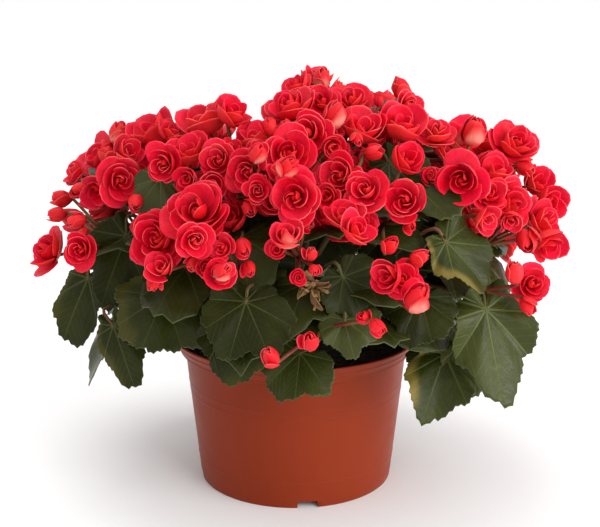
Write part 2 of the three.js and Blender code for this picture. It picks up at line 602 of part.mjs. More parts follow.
// A toothed, waved blade of even thickness, both its faces split into triangles alike, whose stalk
// leaves from the sinus and follows a path of points to the stem
function leafSolid(leaf, path) {
  const { at, tip, face, length, width, droop, wave, teeth } = leaf;
  const side = face.clone().cross(tip);
  const count = 2 * teeth;
  const height = (along, across, reach) => {
    const angle = Math.atan2(across, along);
    const edge = Math.min(1, Math.hypot(along, across) / reach);
    return (-droop * (along * Math.abs(along) + 0.6 * across * across)) / length
      + wave * length * edge * edge * Math.sin(5 * angle + length);
  };
  const place = (angle, share, tooth) => {
    const reach = length * leafReach(angle, width) * (1 + tooth);
    const [along, across] = [share * reach * Math.cos(angle), share * reach * Math.sin(angle)];
    return at.clone().addScaledVector(tip, along).addScaledVector(side, across)
      .addScaledVector(face, height(along, across, reach));
  };
  const angleOf = (i) => {
    const even = -Math.PI + (2 * Math.PI * (i + 0.5)) / count;
    return even + (Math.PI / count) * Math.cos(even / 2);
  };
  const top = [at.clone()];
  for (let j = 0; j < teeth; j += 1) top.push(place(angleOf(2 * j), 0.55, 0));
  for (let i = 0; i < count; i += 1) top.push(place(angleOf(i), 1, i % 2 === 0 ? -TOOTH : TOOTH));
  const under = top.length;
  const points = [...top, ...top.map((p) => p.clone().addScaledVector(face, -BLADE))];
  const middle = (j) => 1 + (j % teeth);
  const outer = (i) => 1 + teeth + (i % count);
  const upper = [];
  for (let j = 0; j < teeth; j += 1) {
    upper.push([0, middle(j), middle(j + 1)]);
    upper.push([middle(j), outer(2 * j), outer(2 * j + 1)]);
    upper.push([middle(j), outer(2 * j + 1), middle(j + 1)]);
    upper.push([middle(j + 1), outer(2 * j + 1), outer(2 * j + 2)]);
  }
  const triangles = [...upper, ...upper.map(([a, b, c]) => [a + under, c + under, b + under])];
  for (let i = 0; i < count - 1; i += 1) {
    triangles.push([outer(i), outer(i) + under, outer(i + 1) + under]);
    triangles.push([outer(i), outer(i + 1) + under, outer(i + 1)]);
  }
  let ring = [outer(count - 1), outer(0), outer(0) + under, outer(count - 1) + under];
  for (const [point, wide, down] of sections(at, tip.clone().negate(), side, path)) {
    const next = [[1, -1], [-1, -1], [-1, 1], [1, 1]].map(([w, d]) => points.push(point.clone()
      .addScaledVector(wide, w * PETIOLE.width).addScaledVector(down, d * PETIOLE.depth)) - 1);
    for (let i = 0; i < 4; i += 1) {
      const j = (i + 1) % 4;
      triangles.push([ring[i], next[i], ring[j]], [next[i], next[j], ring[j]]);
    }
    ring = next;
  }
  triangles.push([ring[0], ring[2], ring[1]], [ring[0], ring[3], ring[2]]);
  return solid(indexed(points, triangles));
}

function shownLeaf([column, row, y, tipColumn, tipRow, width, faceRight, faceUp, droop, wave]) {
  const at = atDepth(column, row, y);
  const face = facing(faceRight, faceUp);
  const line = sight(tipColumn, tipRow);
  const tipEnd = EYE.clone().addScaledVector(line, at.clone().sub(EYE).dot(face) / line.dot(face));
  const length = tipEnd.distanceTo(at);
  const tip = tipEnd.sub(at).divideScalar(length);
  return { at, tip, face, length, width, droop, wave, teeth: length > 50 ? 8 : 6 };
}

function ringLeaves([first, last, count, radius, height, reach, drop, length], draw) {
  const leaves = [];
  for (let i = 0; i < count; i += 1) {
    const azimuth = radians(first + ((last - first) * i) / (count - 1) + LEAF_JITTER.turn * (draw() - 0.5));
    const out = vector(Math.cos(azimuth), Math.sin(azimuth), 0);
    const away = radius + LEAF_JITTER.reach * (draw() - 0.5);
    const raised = height + LEAF_JITTER.reach * (draw() - 0.5) + LEAF_JITTER.step * (i % 2 === 0 ? 1 : -1);
    const at = out.clone().multiplyScalar(away).setZ(raised);
    const sway = radians(LEAF_JITTER.sway * (draw() - 0.5));
    const tip = out.clone().applyAxisAngle(vector(0, 0, 1), sway);
    tip.multiplyScalar(reach).setZ(drop).normalize();
    const face = vector(0, 0, 1).addScaledVector(tip, -tip.z).normalize();
    const size = length * (0.88 + 0.24 * draw());
    leaves.push({ at, tip, face, length: size, width: 1, droop: 0.22, wave: 0.05, teeth: 6 });
  }
  return leaves;
}

function allLeaves() {
  const draw = draws(LEAF_JITTER.seed);
  return [...SHOWN_LEAVES.map(shownLeaf), ...LEAF_RINGS.flatMap((ring) => ringLeaves(ring, draw))];
}

// Main stems from the crown, and the joints along them where branches and leaf stalks start
function stemPath([azimuth, height, share]) {
  const hub = domePoint(azimuth, height, share);
  const root = vector(0, 0, CROWN.top - 8).add(hub.clone().setZ(0).clampLength(0, 0.4 * CROWN.radius));
  const bend = hub.clone().lerp(root, 0.5).add(vector(0, 0, STEM.lift));
  return new THREE.CatmullRomCurve3([root, bend, hub]).getSpacedPoints(2);
}

function stemJoints([root, bend, hub]) {
  return Array.from({ length: STEM.joints }, (_, k) => {
    const share = STEM.firstJoint + ((STEM.lastJoint - STEM.firstJoint) * k) / (STEM.joints - 1);
    return share < 0.5 ? root.clone().lerp(bend, 2 * share) : bend.clone().lerp(hub, 2 * share - 1);
  });
}

// The free joint with the clearest path to a point: the nearest one where there are several. It's taken.
function pathToJoint(from, joints, things, bends) {
  const nearest = joints.filter((joint) => !joint.taken)
    .sort((a, b) => a.at.distanceTo(from) - b.at.distanceTo(from)).slice(0, STEM.choices);
  const paths = nearest.map((joint) => clearPath(from, joint.at.clone(), things, bends));
  const worst = paths.map((path) => crowding(path, things));
  const free = worst.findIndex((lack) => lack <= 0);
  const best = free >= 0 ? free : worst.indexOf(Math.min(...worst));
  nearest[best].taken = true;
  return paths[best];
}

// The path of a leaf's stalk to its stem. A low leaf's stalk comes from the crown over the pot's rim.
function petiolePath(leaf, joints, things) {
  const first = leaf.at.clone().addScaledVector(leaf.tip, -PETIOLE.start - 0.24 * leaf.length)
    .addScaledVector(leaf.face, -PETIOLE.drop);
  if (leaf.at.z >= PETIOLE.lowest) return pathToJoint(first, joints, things, BEND.petiole);
  const root = vector(0, 0, CROWN.top - 16).add(first.clone().setZ(0).clampLength(0, 0.4 * CROWN.radius));
  const bend = first.clone().lerp(root, 0.45);
  return [first, bend.setZ(Math.max(bend.z + 10, 160)), root];
}

// How far the tightest place of a path is from being clear of the things round it
function crowding(path, things) {
  const foot = vector(0, 0, 0);
  let worst = -Infinity;
  for (let k = 0; k < path.length - 1; k += 1) {
    const line = new THREE.Line3(path[k], path[k + 1]);
    for (const thing of things) {
      const gap = line.closestPointToPoint(thing.at, true, foot).distanceTo(thing.at);
      worst = Math.max(worst, thing.radius * BEND.share + BEND.room - gap);
    }
  }
  return worst;
}

function crownSolid() {
  const height = CROWN.top - CROWN.foot;
  const body = new THREE.CylinderGeometry(0.75 * CROWN.radius, CROWN.radius, height, CROWN.sides);
  body.rotateX(Math.PI / 2);
  body.translate(0, 0, CROWN.foot + height / 2);
  return solid(body);
}

function leafyStems(sprays, blooms) {
  const stems = STEMS.map(stemPath);
  const joints = stems.flatMap(stemJoints).map((at) => ({ at, taken: false }));
  const stalks = sprays.flatMap(({ frame, paths }) => [[frame.base, frame.fork], ...paths].flatMap(beads));
  const things = [...blooms, ...stalks];
  const solids = [crownSolid(), ...stems.map((path) => tube(path, STEM.radius, STEM.sides, 2))];
  for (const { frame } of sprays) {
    const end = frame.base.clone().addScaledVector(frame.outward, 1);
    const others = things.filter((thing) => thing.at.distanceTo(frame.base) > BRANCH.own);
    const path = pathToJoint(end, joints, others, 1);
    solids.push(tube(path, BRANCH.radius, BRANCH.sides, path.length - 1));
  }
  for (const leaf of allLeaves()) {
    solids.push(leafSolid(leaf, petiolePath(leaf, joints, things)));
  }
  return joined(solids);
}

// Points along a path, as round things for other stalks to keep clear of
function beads(path) {
  return path.slice(1).flatMap((end, k) => {
    const count = Math.ceil(end.distanceTo(path[k]) / STALK.bead);
    const bead = (_, i) => ({ at: path[k].clone().lerp(end, i / count), radius: STALK.beadRadius });
    return Array.from({ length: count + 1 }, bead);
  });
}

// Pot outline from the middle of its underside out, up the outside, over the rim and down the inside
function potOutline() {
  const wallTop = POT_HEIGHT - COLLAR_HEIGHT;
  const inner = (z) => FOOT_RADIUS - WALL + ((WALL_TOP_RADIUS - FOOT_RADIUS) * z) / wallTop;
  const floor = BOTTOM_HEIGHT + WALL;
  return [
    [0, BOTTOM_HEIGHT], [FOOT_RADIUS - FOOT_WIDTH, BOTTOM_HEIGHT], [FOOT_RADIUS - FOOT_WIDTH, 0],
    [FOOT_RADIUS - 1.5, 0], [FOOT_RADIUS, 1.5], [WALL_TOP_RADIUS, wallTop],
    [RIM_RADIUS - 9.4, wallTop + 2], [RIM_RADIUS - 8.6, wallTop + 3.5], [RIM_RADIUS - 4.6, POT_HEIGHT - 8.4],
    [RIM_RADIUS - 3.9, POT_HEIGHT - 7.4], [RIM_RADIUS, POT_HEIGHT - 1.2], [RIM_RADIUS - 1.2, POT_HEIGHT],
    [RIM_RADIUS - 2.4, POT_HEIGHT - 0.8], [RIM_RADIUS - 11.2, wallTop + 3], [inner(wallTop - 1), wallTop - 1],
    [inner(floor), floor], [0, floor],
  ];
}

function turned(outline, sides) {
  const points = outline.map(([r, z]) => new THREE.Vector2(r, z));
  return solid(new THREE.LatheGeometry(points, sides).rotateX(Math.PI / 2));
}

function notchSolid(azimuth) {
  const depth = FOOT_WIDTH + 8;
  const half = [NOTCH.width / 2, NOTCH.topWidth / 2];
  const shape = new THREE.Shape([
    new THREE.Vector2(-half[0] - 0.4, -1), new THREE.Vector2(half[0] + 0.4, -1),
    new THREE.Vector2(half[1], NOTCH.height), new THREE.Vector2(-half[1], NOTCH.height),
  ]);
  const cut = new THREE.ExtrudeGeometry(shape, { depth, bevelEnabled: false });
  cut.rotateX(Math.PI / 2);
  cut.translate(0, -(FOOT_RADIUS - FOOT_WIDTH - 4), 0);
  cut.rotateZ(radians(azimuth + 90));
  return solid(cut);
}

function drainSolid(azimuth) {
  const hole = new THREE.CylinderGeometry(DRAIN.radius, DRAIN.radius, 4 * WALL, DRAIN.sides);
  hole.rotateX(Math.PI / 2);
  hole.translate(DRAIN.ring * Math.cos(azimuth), DRAIN.ring * Math.sin(azimuth), BOTTOM_HEIGHT + WALL / 2);
  return solid(hole);
}

function potSolid() {
  const cuts = [];
  for (let i = 0; i < NOTCH.count; i += 1) cuts.push(notchSolid(NOTCH.first + (360 * i) / NOTCH.count));
  for (let i = 0; i < DRAIN.count; i += 1) cuts.push(drainSolid((2 * Math.PI * i) / DRAIN.count));
  return turned(potOutline(), POT_SIDES).subtract(joined(cuts));
}

// The soil fills the pot, a little clear of its wall, with a plain hole where the crown stands
function soilSolid() {
  const wallTop = POT_HEIGHT - COLLAR_HEIGHT;
  const floor = BOTTOM_HEIGHT + WALL + FIT_GAP;
  const radius = (z) => FOOT_RADIUS - WALL - 3 * FIT_GAP + ((WALL_TOP_RADIUS - FOOT_RADIUS) * z) / wallTop;
  const body = turned([
    [0, floor], [radius(floor), floor], [radius(SOIL_TOP - 1.5), SOIL_TOP - 1.5],
    [radius(SOIL_TOP) - 4, SOIL_TOP],
    [0.6 * FOOT_RADIUS, SOIL_TOP + 0.7 * SOIL_MOUND], [0, SOIL_TOP + SOIL_MOUND],
  ], SOIL_SIDES);
  const depth = CROWN.top - CROWN.foot + 4;
  const holeRadius = CROWN.radius + CROWN.holeGap;
  const hole = new THREE.CylinderGeometry(holeRadius, holeRadius, depth, 16);
  hole.rotateX(Math.PI / 2);
  hole.translate(0, 0, CROWN.foot - FIT_GAP + depth / 2);
  return body.subtract(solid(hole));
}

// What the leaves keep clear of at the pot: its outside, a little larger, and the soil's top
function potKeepOut() {
  const wallTop = POT_HEIGHT - COLLAR_HEIGHT;
  const gap = 2 * CLEARANCE;
  return turned([
    [CROWN.radius + 3, 0], [FOOT_RADIUS + gap, 0], [WALL_TOP_RADIUS + gap, wallTop],
    [RIM_RADIUS + gap, POT_HEIGHT - 4], [RIM_RADIUS + gap, POT_HEIGHT], [RIM_RADIUS - 1.2, POT_HEIGHT + gap],
    [RIM_RADIUS - 2.4 - gap, POT_HEIGHT], [RIM_RADIUS - 12, wallTop + 3],
    [WALL_TOP_RADIUS - 3 * WALL, SOIL_TOP + gap],
    [0.6 * FOOT_RADIUS, SOIL_TOP + SOIL_MOUND + gap], [CROWN.radius + 3, SOIL_TOP + SOIL_MOUND + gap],
    [CROWN.radius + 3, 0],
  ], POT_SIDES);
}

// A body cut back from its neighbours, by their grown copies and then by what still touches
function cutClear(body, grown, neighbours) {
  return body.subtract(joined(grown)).simplify(SLIVER).subtract(joined(neighbours));
}

function buildPlant() {
  const draw = draws(CLUSTER.seed);
  const sprays = [
    ...SHOWN_SPRAYS.map(([name, rows]) => ({ name, blooms: shownBlooms(rows) })),
    ...OTHER_SPRAYS.map((row) => ({ name: row[0], blooms: otherBlooms(row, draw) })),
  ];
  const blooms = sprays.flatMap((spray) => spray.blooms);
  settle(blooms);
  const meshes = [];
  const bodies = [];
  const taken = [];
  sprays.forEach((spray, k) => {
    spray.seed = 100 + k;
    spray.frame = sprayFrame(spray.blooms);
    spray.blooms.forEach((bloom) => turnFromFork(bloom, spray.frame.fork));
    spray.paths = pedicelPaths(spray.blooms, spray.frame, blooms);
    const own = joined(spraySolids(spray, 0));
    bodies.push(k > 0 ? own.subtract(joined(taken)) : own);
    meshes.push(mesh(`spray_${spray.name}`, bodies[k], PETAL_MATERIAL));
    taken.push(joined(spraySolids(spray, CLEARANCE)));
  });
  const green = cutClear(leafyStems(sprays, blooms), [...taken, potKeepOut()], bodies);
  return [mesh("leafy_stems", green, GREEN_MATERIAL), ...meshes];
}

const begonia = new THREE.Group();
begonia.add(mesh("pot", potSolid(), POT_MATERIAL));
begonia.add(mesh("soil", soilSolid(), SOIL_MATERIAL));
begonia.add(...buildPlant());
export default begonia;
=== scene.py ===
# A potted begonia: a terracotta-coloured plastic pot, soil, a leafy plant and sprays of red double flowers.
# The plant is laid out in millimetres, from the same values as the solids, and every mesh is in metres.
import math

import bpy
import numpy as np
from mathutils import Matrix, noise


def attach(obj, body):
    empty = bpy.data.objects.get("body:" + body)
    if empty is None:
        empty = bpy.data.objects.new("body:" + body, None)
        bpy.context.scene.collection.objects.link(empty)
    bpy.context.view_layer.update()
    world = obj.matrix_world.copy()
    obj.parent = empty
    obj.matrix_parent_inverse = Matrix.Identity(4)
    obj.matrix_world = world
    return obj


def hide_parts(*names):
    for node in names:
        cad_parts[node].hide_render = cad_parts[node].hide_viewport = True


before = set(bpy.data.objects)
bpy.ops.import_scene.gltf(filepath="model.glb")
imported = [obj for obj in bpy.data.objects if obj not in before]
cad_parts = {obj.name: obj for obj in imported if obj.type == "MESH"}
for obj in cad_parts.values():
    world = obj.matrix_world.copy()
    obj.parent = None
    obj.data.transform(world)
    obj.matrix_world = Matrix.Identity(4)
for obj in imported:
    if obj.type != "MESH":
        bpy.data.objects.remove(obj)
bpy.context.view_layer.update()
MM = 0.001

# The reference view: where its camera stands, and the frame that its columns and rows are in
VIEW_Y, VIEW_Z = -1500, 655
VIEW_TILT = math.radians(16.8)
VIEW_YAW = math.radians(0.15)
VIEW_FOCAL = 1724.76
VIEW_COLUMN, VIEW_ROW = 295.5, 263.5
FRAME_WIDTH = 600
SENSOR_WIDTH = 36

# Pot and soil
RIM_RADIUS = 115
POT_HEIGHT = 141
FOOT_RADIUS = 88
FOOT_WIDTH = 6
BOTTOM_HEIGHT = 7
WALL = 2.6
COLLAR_HEIGHT = 18.5
WALL_TOP_RADIUS = 101.4
POT_SIDES = 112
# Faint raised lines round the wall: their heights, and the profile of one as height and height out
WALL_LINES = (24, 87, 95)
WALL_LINE = ((-1.4, 0), (-0.4, 0.25), (0.4, 0.25), (1.4, 0))
NOTCH_WIDTH, NOTCH_HEIGHT, NOTCH_COUNT, NOTCH_FIRST = 18, 6.6, 4, -83
DRAIN_RADIUS, DRAIN_RING, DRAIN_COUNT = 5, 55, 6
SOIL_TOP = 120
SOIL_MOUND = 4
CROWN_RADIUS, CROWN_FOOT, CROWN_TOP = 9, 98, 146

# The dome on which the blooms' middles lie, and the point that the stems point away from
DOME_MIDDLE = np.array([4.0, 0.0, 190.0])
DOME_HALF = np.array([230.0, 215.0, 178.0])
HEART = np.array([0.0, 0.0, 165.0])

# Seeded draws: each state is the last one times the factor, modulo the modulus. A value that a draw varies
# is given as a pair: the least one and the spread
DRAW_FACTOR, DRAW_MODULUS = 16807, 2147483647
NOD_SEED, TURN_SEED, LEAF_SEED = 700, 100, 911
# A bloom's seed comes from its spray's number and from its own turn
BLOOM_SEED, BLOOM_SEED_STEP, BLOOM_SEED_TURNS = 5000, 97, 100
# The least length to divide by
TINY = 1e-9

# Stalks. A pedicel is the stalk of one bloom, and a petiole that of one leaf
STALK_RADIUS, STALK_LENGTH, STALK_DEPTH = 2.3, 24, 70
PEDICEL_RADIUS, PEDICEL_START, PEDICEL_LEAN = 1.5, 2.2, 0.5
# The radii of a pedicel's knot under a bloom of this radius or more, and how far inside the bloom it starts
KNOT_RADII, KNOT_BLOOM, KNOT_DEPTH = np.array([1, 2.2, 2.2, 1.8]), 12, 0.62
BEND_SHARE, BEND_ROOM, BEND_REACH, BEND_ROUNDS = 0.96, 2.6, 8, 16
BEND_SHARES = (0.01, 0.34, 0.67)
BEAD_STEP, BEAD_RADIUS = 5, 2.5
STEM_RADIUS, STEM_LIFT, STEM_ROOT, STEM_JOINTS, JOINT_CHOICES = 4, 6, 8, 15, 14
FIRST_JOINT, LAST_JOINT = 0.4, 0.97
CROWN_TAPER, ROOT_OUT = 0.75, 0.4
BRANCH_RADIUS, BRANCH_OWN = 2.6, 16
PETIOLE_RADIUS, PETIOLE_START, PETIOLE_BACK, PETIOLE_DROP = 1.5, 7, 0.24, 5
# The stalk of a leaf below this height bends over the pot's rim
PETIOLE_LOWEST, PETIOLE_OVER_RIM = 190, 160
PETIOLE_ROOT, PETIOLE_BEND, PETIOLE_RISE, PETIOLE_INSET = 16, 0.45, 10, 1.5

# The height of each kind of bloom's foot, in shares of its radius
TAIL = {"rose": -0.66, "cup": -0.8, "bud": -1}

# Sprays that face the viewer, bloom by bloom: column, row, lift towards the viewer, radius as it looks
# beside the pot's axis, form, facing to the right, facing up
SHOWN_SPRAYS = {
    "left_high": [
        (97, 155, 0, 16, "cup", -0.35, 0.6), (120, 137, -6, 10, "bud", 0.25, 0.9),
        (129, 151, -4, 12, "cup", 0.35, 0.6), (121, 180, 8, 16.5, "rose", 0.05, -0.05),
        (95, 191, -6, 12, "cup", -0.2, -0.4), (74, 172, 0, 10, "rose", -0.75, 0.3),
        (79, 190, -10, 9, "bud", -0.7, -0.3),
    ],
    "left_edge": [
        (60, 198, 4, 10, "bud", -0.93, 0.1), (58, 215, 6, 9, "bud", -0.95, -0.25),
        (77, 221, 2, 9, "bud", -0.8, -0.4), (46, 250, 0, 17, "rose", -0.85, 0.05),
        (79, 250, 12, 13, "rose", -0.1, 0),
    ],
    "left_front": [
        (154, 238, 10, 22, "rose", -0.12, 0), (161, 267, 4, 11, "cup", -0.35, 0.1),
        (153, 283, 2, 8, "bud", 0.1, -0.9), (197, 210, 4, 24, "rose", 0.08, 0.3),
        (196, 241, 14, 12.5, "rose", 0, -0.1),
    ],
    "front_left": [
        (222, 248, 16, 9.5, "rose", -0.05, 0), (193, 263, 6, 8, "bud", -0.1, -0.8),
        (206, 267, 2, 8, "cup", 0.1, -0.5), (220, 273, 10, 11, "cup", 0.45, 0.1),
        (243, 247, 4, 10, "bud", 0.15, -0.85), (249, 268, -8, 8, "bud", 0.2, -0.6),
    ],
    "upper_left": [
        (151, 128, -2, 19, "cup", -0.25, 0.85), (172, 130, -10, 11, "cup", 0.2, 0.7),
        (163, 164, 12, 14, "rose", -0.1, -0.05), (186, 149, 8, 15, "cup", 0.1, 0.6),
        (186, 179, 6, 9, "cup", -0.15, -0.1), (136, 202, -12, 9, "bud", -0.2, -0.7),
    ],
    "upper_mid_left": [
        (204, 117, 0, 18, "cup", -0.1, 0.85), (234, 113, -4, 14, "cup", 0.4, 0.65),
        (217, 160, 12, 14, "rose", -0.35, 0.05), (212, 184, 8, 10, "cup", 0.25, -0.25),
        (233, 148, -6, 10, "cup", 0.2, 0.4),
    ],
    "mid_left": [
        (257, 135, -2, 15, "cup", 0.1, 0.7), (269, 128, 4, 8, "bud", 0.1, 0.95),
        (255, 153, 4, 12, "cup", -0.35, 0.55), (247, 172, 14, 16, "rose", -0.05, -0.05),
        (257, 191, 8, 10, "rose", -0.1, -0.25), (249, 208, -8, 9, "bud", 0, -0.7),
    ],
    "top_left": [
        (296, 84, 0, 13, "rose", -0.35, 0.65), (289, 105, 2, 20, "rose", -0.15, 0.85),
        (317, 76, -4, 12, "cup", 0.1, 0.9), (322, 99, 8, 14, "rose", 0.05, 0.2),
    ],
    "top_right": [
        (351, 97, 0, 17, "rose", 0.15, 0.35), (333, 116, 10, 13, "bud", 0, 0.85),
        (364, 125, 4, 16, "cup", 0.3, 0.75), (379, 101, 0, 5, "bud", 0.1, 0.9),
        (357, 139, 6, 7, "bud", -0.05, -0.85),
    ],
    "mid_top": [
        (307, 134, 6, 18, "rose", 0.1, 0.15), (286, 129, -6, 9, "bud", -0.3, 0.8),
        (333, 147, 6, 9, "cup", 0.05, -0.3), (289, 153, 14, 19, "rose", 0.15, 0.15),
        (284, 172, 16, 12, "cup", -0.05, 0.85),
    ],
    "middle": [
        (294, 198, 18, 19.5, "rose", 0.05, -0.1), (308, 224, -2, 7, "bud", 0.2, -0.8),
        (287, 234, 12, 13, "cup", 0.05, 0.6), (277, 249, 8, 8, "cup", -0.2, -0.3),
        (311, 254, 6, 7, "bud", 0.2, 0.6), (314, 270, 12, 6, "bud", 0.3, -0.7),
        (298, 277, 4, 6, "cup", -0.2, -0.1),
    ],
    "mid_right": [
        (339, 174, 12, 17, "rose", -0.1, 0.05), (365, 190, 10, 16.5, "rose", -0.1, 0.45),
        (344, 213, 8, 14, "cup", -0.1, 0.7), (357, 229, 16, 13, "cup", 0.55, 0.35),
        (373, 153, -6, 9, "bud", 0.1, -0.8), (326, 197, -4, 10, "cup", -0.3, 0.1),
    ],
    "right_middle": [
        (404, 200, 10, 17, "rose", 0.05, -0.05), (408, 158, 2, 14, "cup", 0.2, 0.4),
        (410, 225, -8, 7, "bud", 0.2, -0.6), (431, 176, -4, 8, "rose", 0.1, 0.2),
        (390, 246, 8, 9, "bud", 0.45, 0.6),
    ],
    "top_far_right": [
        (401, 90, 2, 11, "bud", -0.25, 0.85), (411, 105, 6, 13, "rose", 0.5, 0.4),
        (403, 123, 10, 17, "cup", -0.1, 0.75), (436, 131, 2, 15, "rose", 0, 0.85),
        (464, 134, 4, 16, "cup", -0.1, 0.8),
    ],
    "right_high": [
        (489, 139, -4, 12, "cup", 0, 0.8), (515, 142, 2, 18, "rose", 0.3, 0.5),
        (524, 168, 10, 9, "bud", 0.6, -0.5), (542, 181, 0, 14, "cup", 0.55, 0.1),
        (553, 204, 4, 14, "cup", 0.8, -0.1),
    ],
    "right_rose": [
        (460, 181, 14, 18.5, "rose", 0, -0.08), (497, 172, 4, 15, "cup", 0.1, 0.5),
        (490, 194, 10, 13, "rose", -0.1, 0.3), (487, 220, 6, 10, "cup", 0.45, -0.5),
        (515, 204, 12, 17, "rose", 0, -0.15),
    ],
    "right_low": [
        (543, 220, 8, 17, "rose", 0.35, 0.1), (526, 240, 8, 13, "bud", -0.05, -0.95),
        (547, 246, 2, 14, "cup", 0.25, -0.8), (509, 221, -8, 8, "cup", -0.1, -0.6),
    ],
    "right_front": [
        (385, 276, 8, 13, "cup", -0.5, 0.15), (403, 279, 12, 13.5, "rose", 0.05, -0.05),
        (416, 298, 20, 15, "bud", 0.1, 0.6), (419, 257, 6, 9, "bud", 0.9, 0.15),
    ],
    "right_edge": [
        (533, 284, 20, 14, "rose", 0.3, 0.05), (514, 273, 20, 11, "bud", -0.1, 0.95),
        (527, 306, 22, 9, "bud", 0.4, -0.75),
    ],
    "low_front": [
        (270, 357, 0, 11, "bud", -0.1, 0.5), (310, 342, 0, 10, "bud", 0.1, 0.5),
        (363, 318, 0, 8, "bud", -0.85, 0.1), (377, 327, 10, 9, "bud", 0.5, -0.6),
    ],
}

# Sprays at the sides and back: azimuth from +X, height angle on the dome, share of the dome's size, blooms
OTHER_SPRAYS = {
    "back_top_right": (42, 50, 0.93, 4), "back_top": (84, 57, 0.95, 3), "back_top_left": (138, 44, 0.92, 4),
    "back_right": (14, 32, 0.98, 4), "back_mid_right": (50, 28, 0.98, 4), "back_mid": (90, 30, 1, 4),
    "back_mid_left": (130, 26, 0.98, 4), "back_left": (173, 32, 0.97, 4), "low_right": (10, 12, 0.96, 3),
    "low_back_right": (36, 8, 1, 4), "low_back_mid_right": (65, 8, 1, 3), "low_back": (93, 8, 1, 4),
    "low_back_mid_left": (121, 8, 1, 3), "low_back_left": (148, 8, 0.99, 4),
}
# Their blooms: one large one, and smaller ones round it, which lean away from it
CLUSTER_SEED, CLUSTER_SPREAD, CLUSTER_JITTER, CLUSTER_CURVE = 20417, 36, 7, 0.004
CLUSTER_LARGE, CLUSTER_SMALL, CLUSTER_BUD = 20, (13, 6), 0.75
CLUSTER_LEAN, MIDDLE_LEAN, CLUSTER_LIFT = 0.5, 0.2, 0.25
# A smaller one is a rose when its draw is under the first of these, and a cup under the second
ROSE_SHARE, CUP_SHARE = 0.45, 0.8
# The shown blooms' real size beside the table's, and how far their axes nod across and up the picture
SHOWN_SIZE, NOD, NOD_ACROSS, NOD_UP = 1.15, 0.32, (-1, 2), (-0.5, 1.6)
# Sprays whose pedicels aren't bent
STRAIGHT_SPRAYS = ("low_front", "right_front")
SETTLE_ROUNDS, SETTLE_REACH = 80, 34

# The dried petals on an old stalk: its end and its bend, each as column, row and y
WITHERED_HUB, WITHERED_BEND = (313, 288, -172), (312, 322, -120)
WITHERED_COUNT, WITHERED_SEED, WITHERED_ROOT = 16, 6143, 6.0
WITHERED_RADIUS, WITHERED_STUB_RADIUS, WITHERED_STUB_EVERY = 1.9, 1.1, 4
# Each petal's direction, length, width and curl
WITHERED_WAY = ((-0.8, 2), (-0.3, -0.5), (-0.6, 1.1))
WITHERED_LENGTH, WITHERED_WIDTH, WITHERED_CURL = (11, 9), (3, 3), (-0.5, 1.6)
WITHERED_CRUMPLE, WITHERED_FOLD, WITHERED_STUB_TIP = 0.9, 0.7, 3
WITHERED_TINT, WITHERED_STUB_TINT = (0, 0.2, 0, 1), (0, 0.9, 0, 1)

# Main stems: azimuth, height angle, share of the dome's size
STEMS = [
    (-8, 20, 0.5), (52, 20, 0.48), (112, 20, 0.48), (172, 20, 0.5), (226, 22, 0.52), (270, 20, 0.54),
    (314, 22, 0.52), (70, 86, 0.56),
]

# Leaves that face the viewer: column and row of the stalk's end, its y, column and row of the tip,
# width share, facing to the right, facing up, droop, wave, yellowing, lightness. The lightness is partly
# the leaf's own tone and partly painted light: it was set to how lit each leaf looks, higher for the
# leaves lit from the right and raised for some that lie in shade
SHOWN_LEAVES = [
    (88, 278, -60, 62, 333, 0.55, -0.35, 0.1, 0.1, 0.05, 0.1, 0.22),
    (164, 296, -116, 143, 342, 1.65, -0.1, 0.45, 0.1, 0.07, 0.1, 0.3),
    (113, 326, -104, 130, 376, 0.6, -0.25, 0.05, 0.05, 0.06, 0.15, 0.26),
    (246, 302, -172, 230, 350, 1.4, -0.05, 0.3, 0.12, 0.06, 0, 0.18),
    (228, 324, -146, 239, 375, 1.05, 0, 0.15, 0.1, 0.05, 0, 0.2),
    (300, 353, -134, 270, 379, 1.6, 0, 0.48, 0.16, 0.05, 0, 0.34),
    (344, 320, -178, 352, 350, 1.5, -0.1, 0.3, 0.15, 0.06, 0, 0.62),
    (343, 277, -168, 364, 312, 1.3, 0.3, 0.2, 0.12, 0.05, 0, 0.2),
    (420, 298, -138, 404, 332, 1.45, 0.05, 0.4, 0.2, 0.05, 0, 0.12),
    (446, 242, -146, 484, 277, 0.95, 0.35, 0.35, 0.1, 0.09, 0.6, 0.42),
    (486, 310, -126, 500, 386, 0.78, 0.25, 0.2, 0.08, 0.1, 0, 0.6),
    (445, 354, -102, 426, 412, 0.7, 0.1, 0.3, 0.04, 0.1, 0.8, 0.54),
    (466, 340, -96, 461, 390, 0.8, 0.15, 0.2, 0.1, 0.05, 0.1, 0.62),
    (160, 178, -104, 139, 204, 1, -0.1, 0.3, 0.1, 0.05, 0, 0.6),
    (389, 163, -92, 441, 206, 0.5, -0.1, 0.6, 0.1, 0.04, 0, 0.3),
    (126, 236, -72, 104, 292, 1, -0.2, 0.15, 0.1, 0.05, 0, 0.14),
    (270, 262, -120, 276, 300, 1.1, 0.2, 0.1, 0.1, 0.05, 0, 0.08),
    (430, 350, -96, 410, 362, 0.8, 0, 0.3, 0.1, 0.06, 0, 0.2),
    (438, 262, -64, 436, 300, 1.2, 0.1, 0.2, 0.1, 0.05, 0, 0.14),
    (246, 196, -84, 232, 250, 1.1, -0.1, 0.2, 0.1, 0.05, 0, 0.14),
    (322, 214, -90, 312, 262, 1.1, 0, 0.2, 0.1, 0.05, 0, 0.14),
    (400, 222, -84, 396, 276, 1.2, 0.1, 0.2, 0.1, 0.05, 0, 0.14),
]

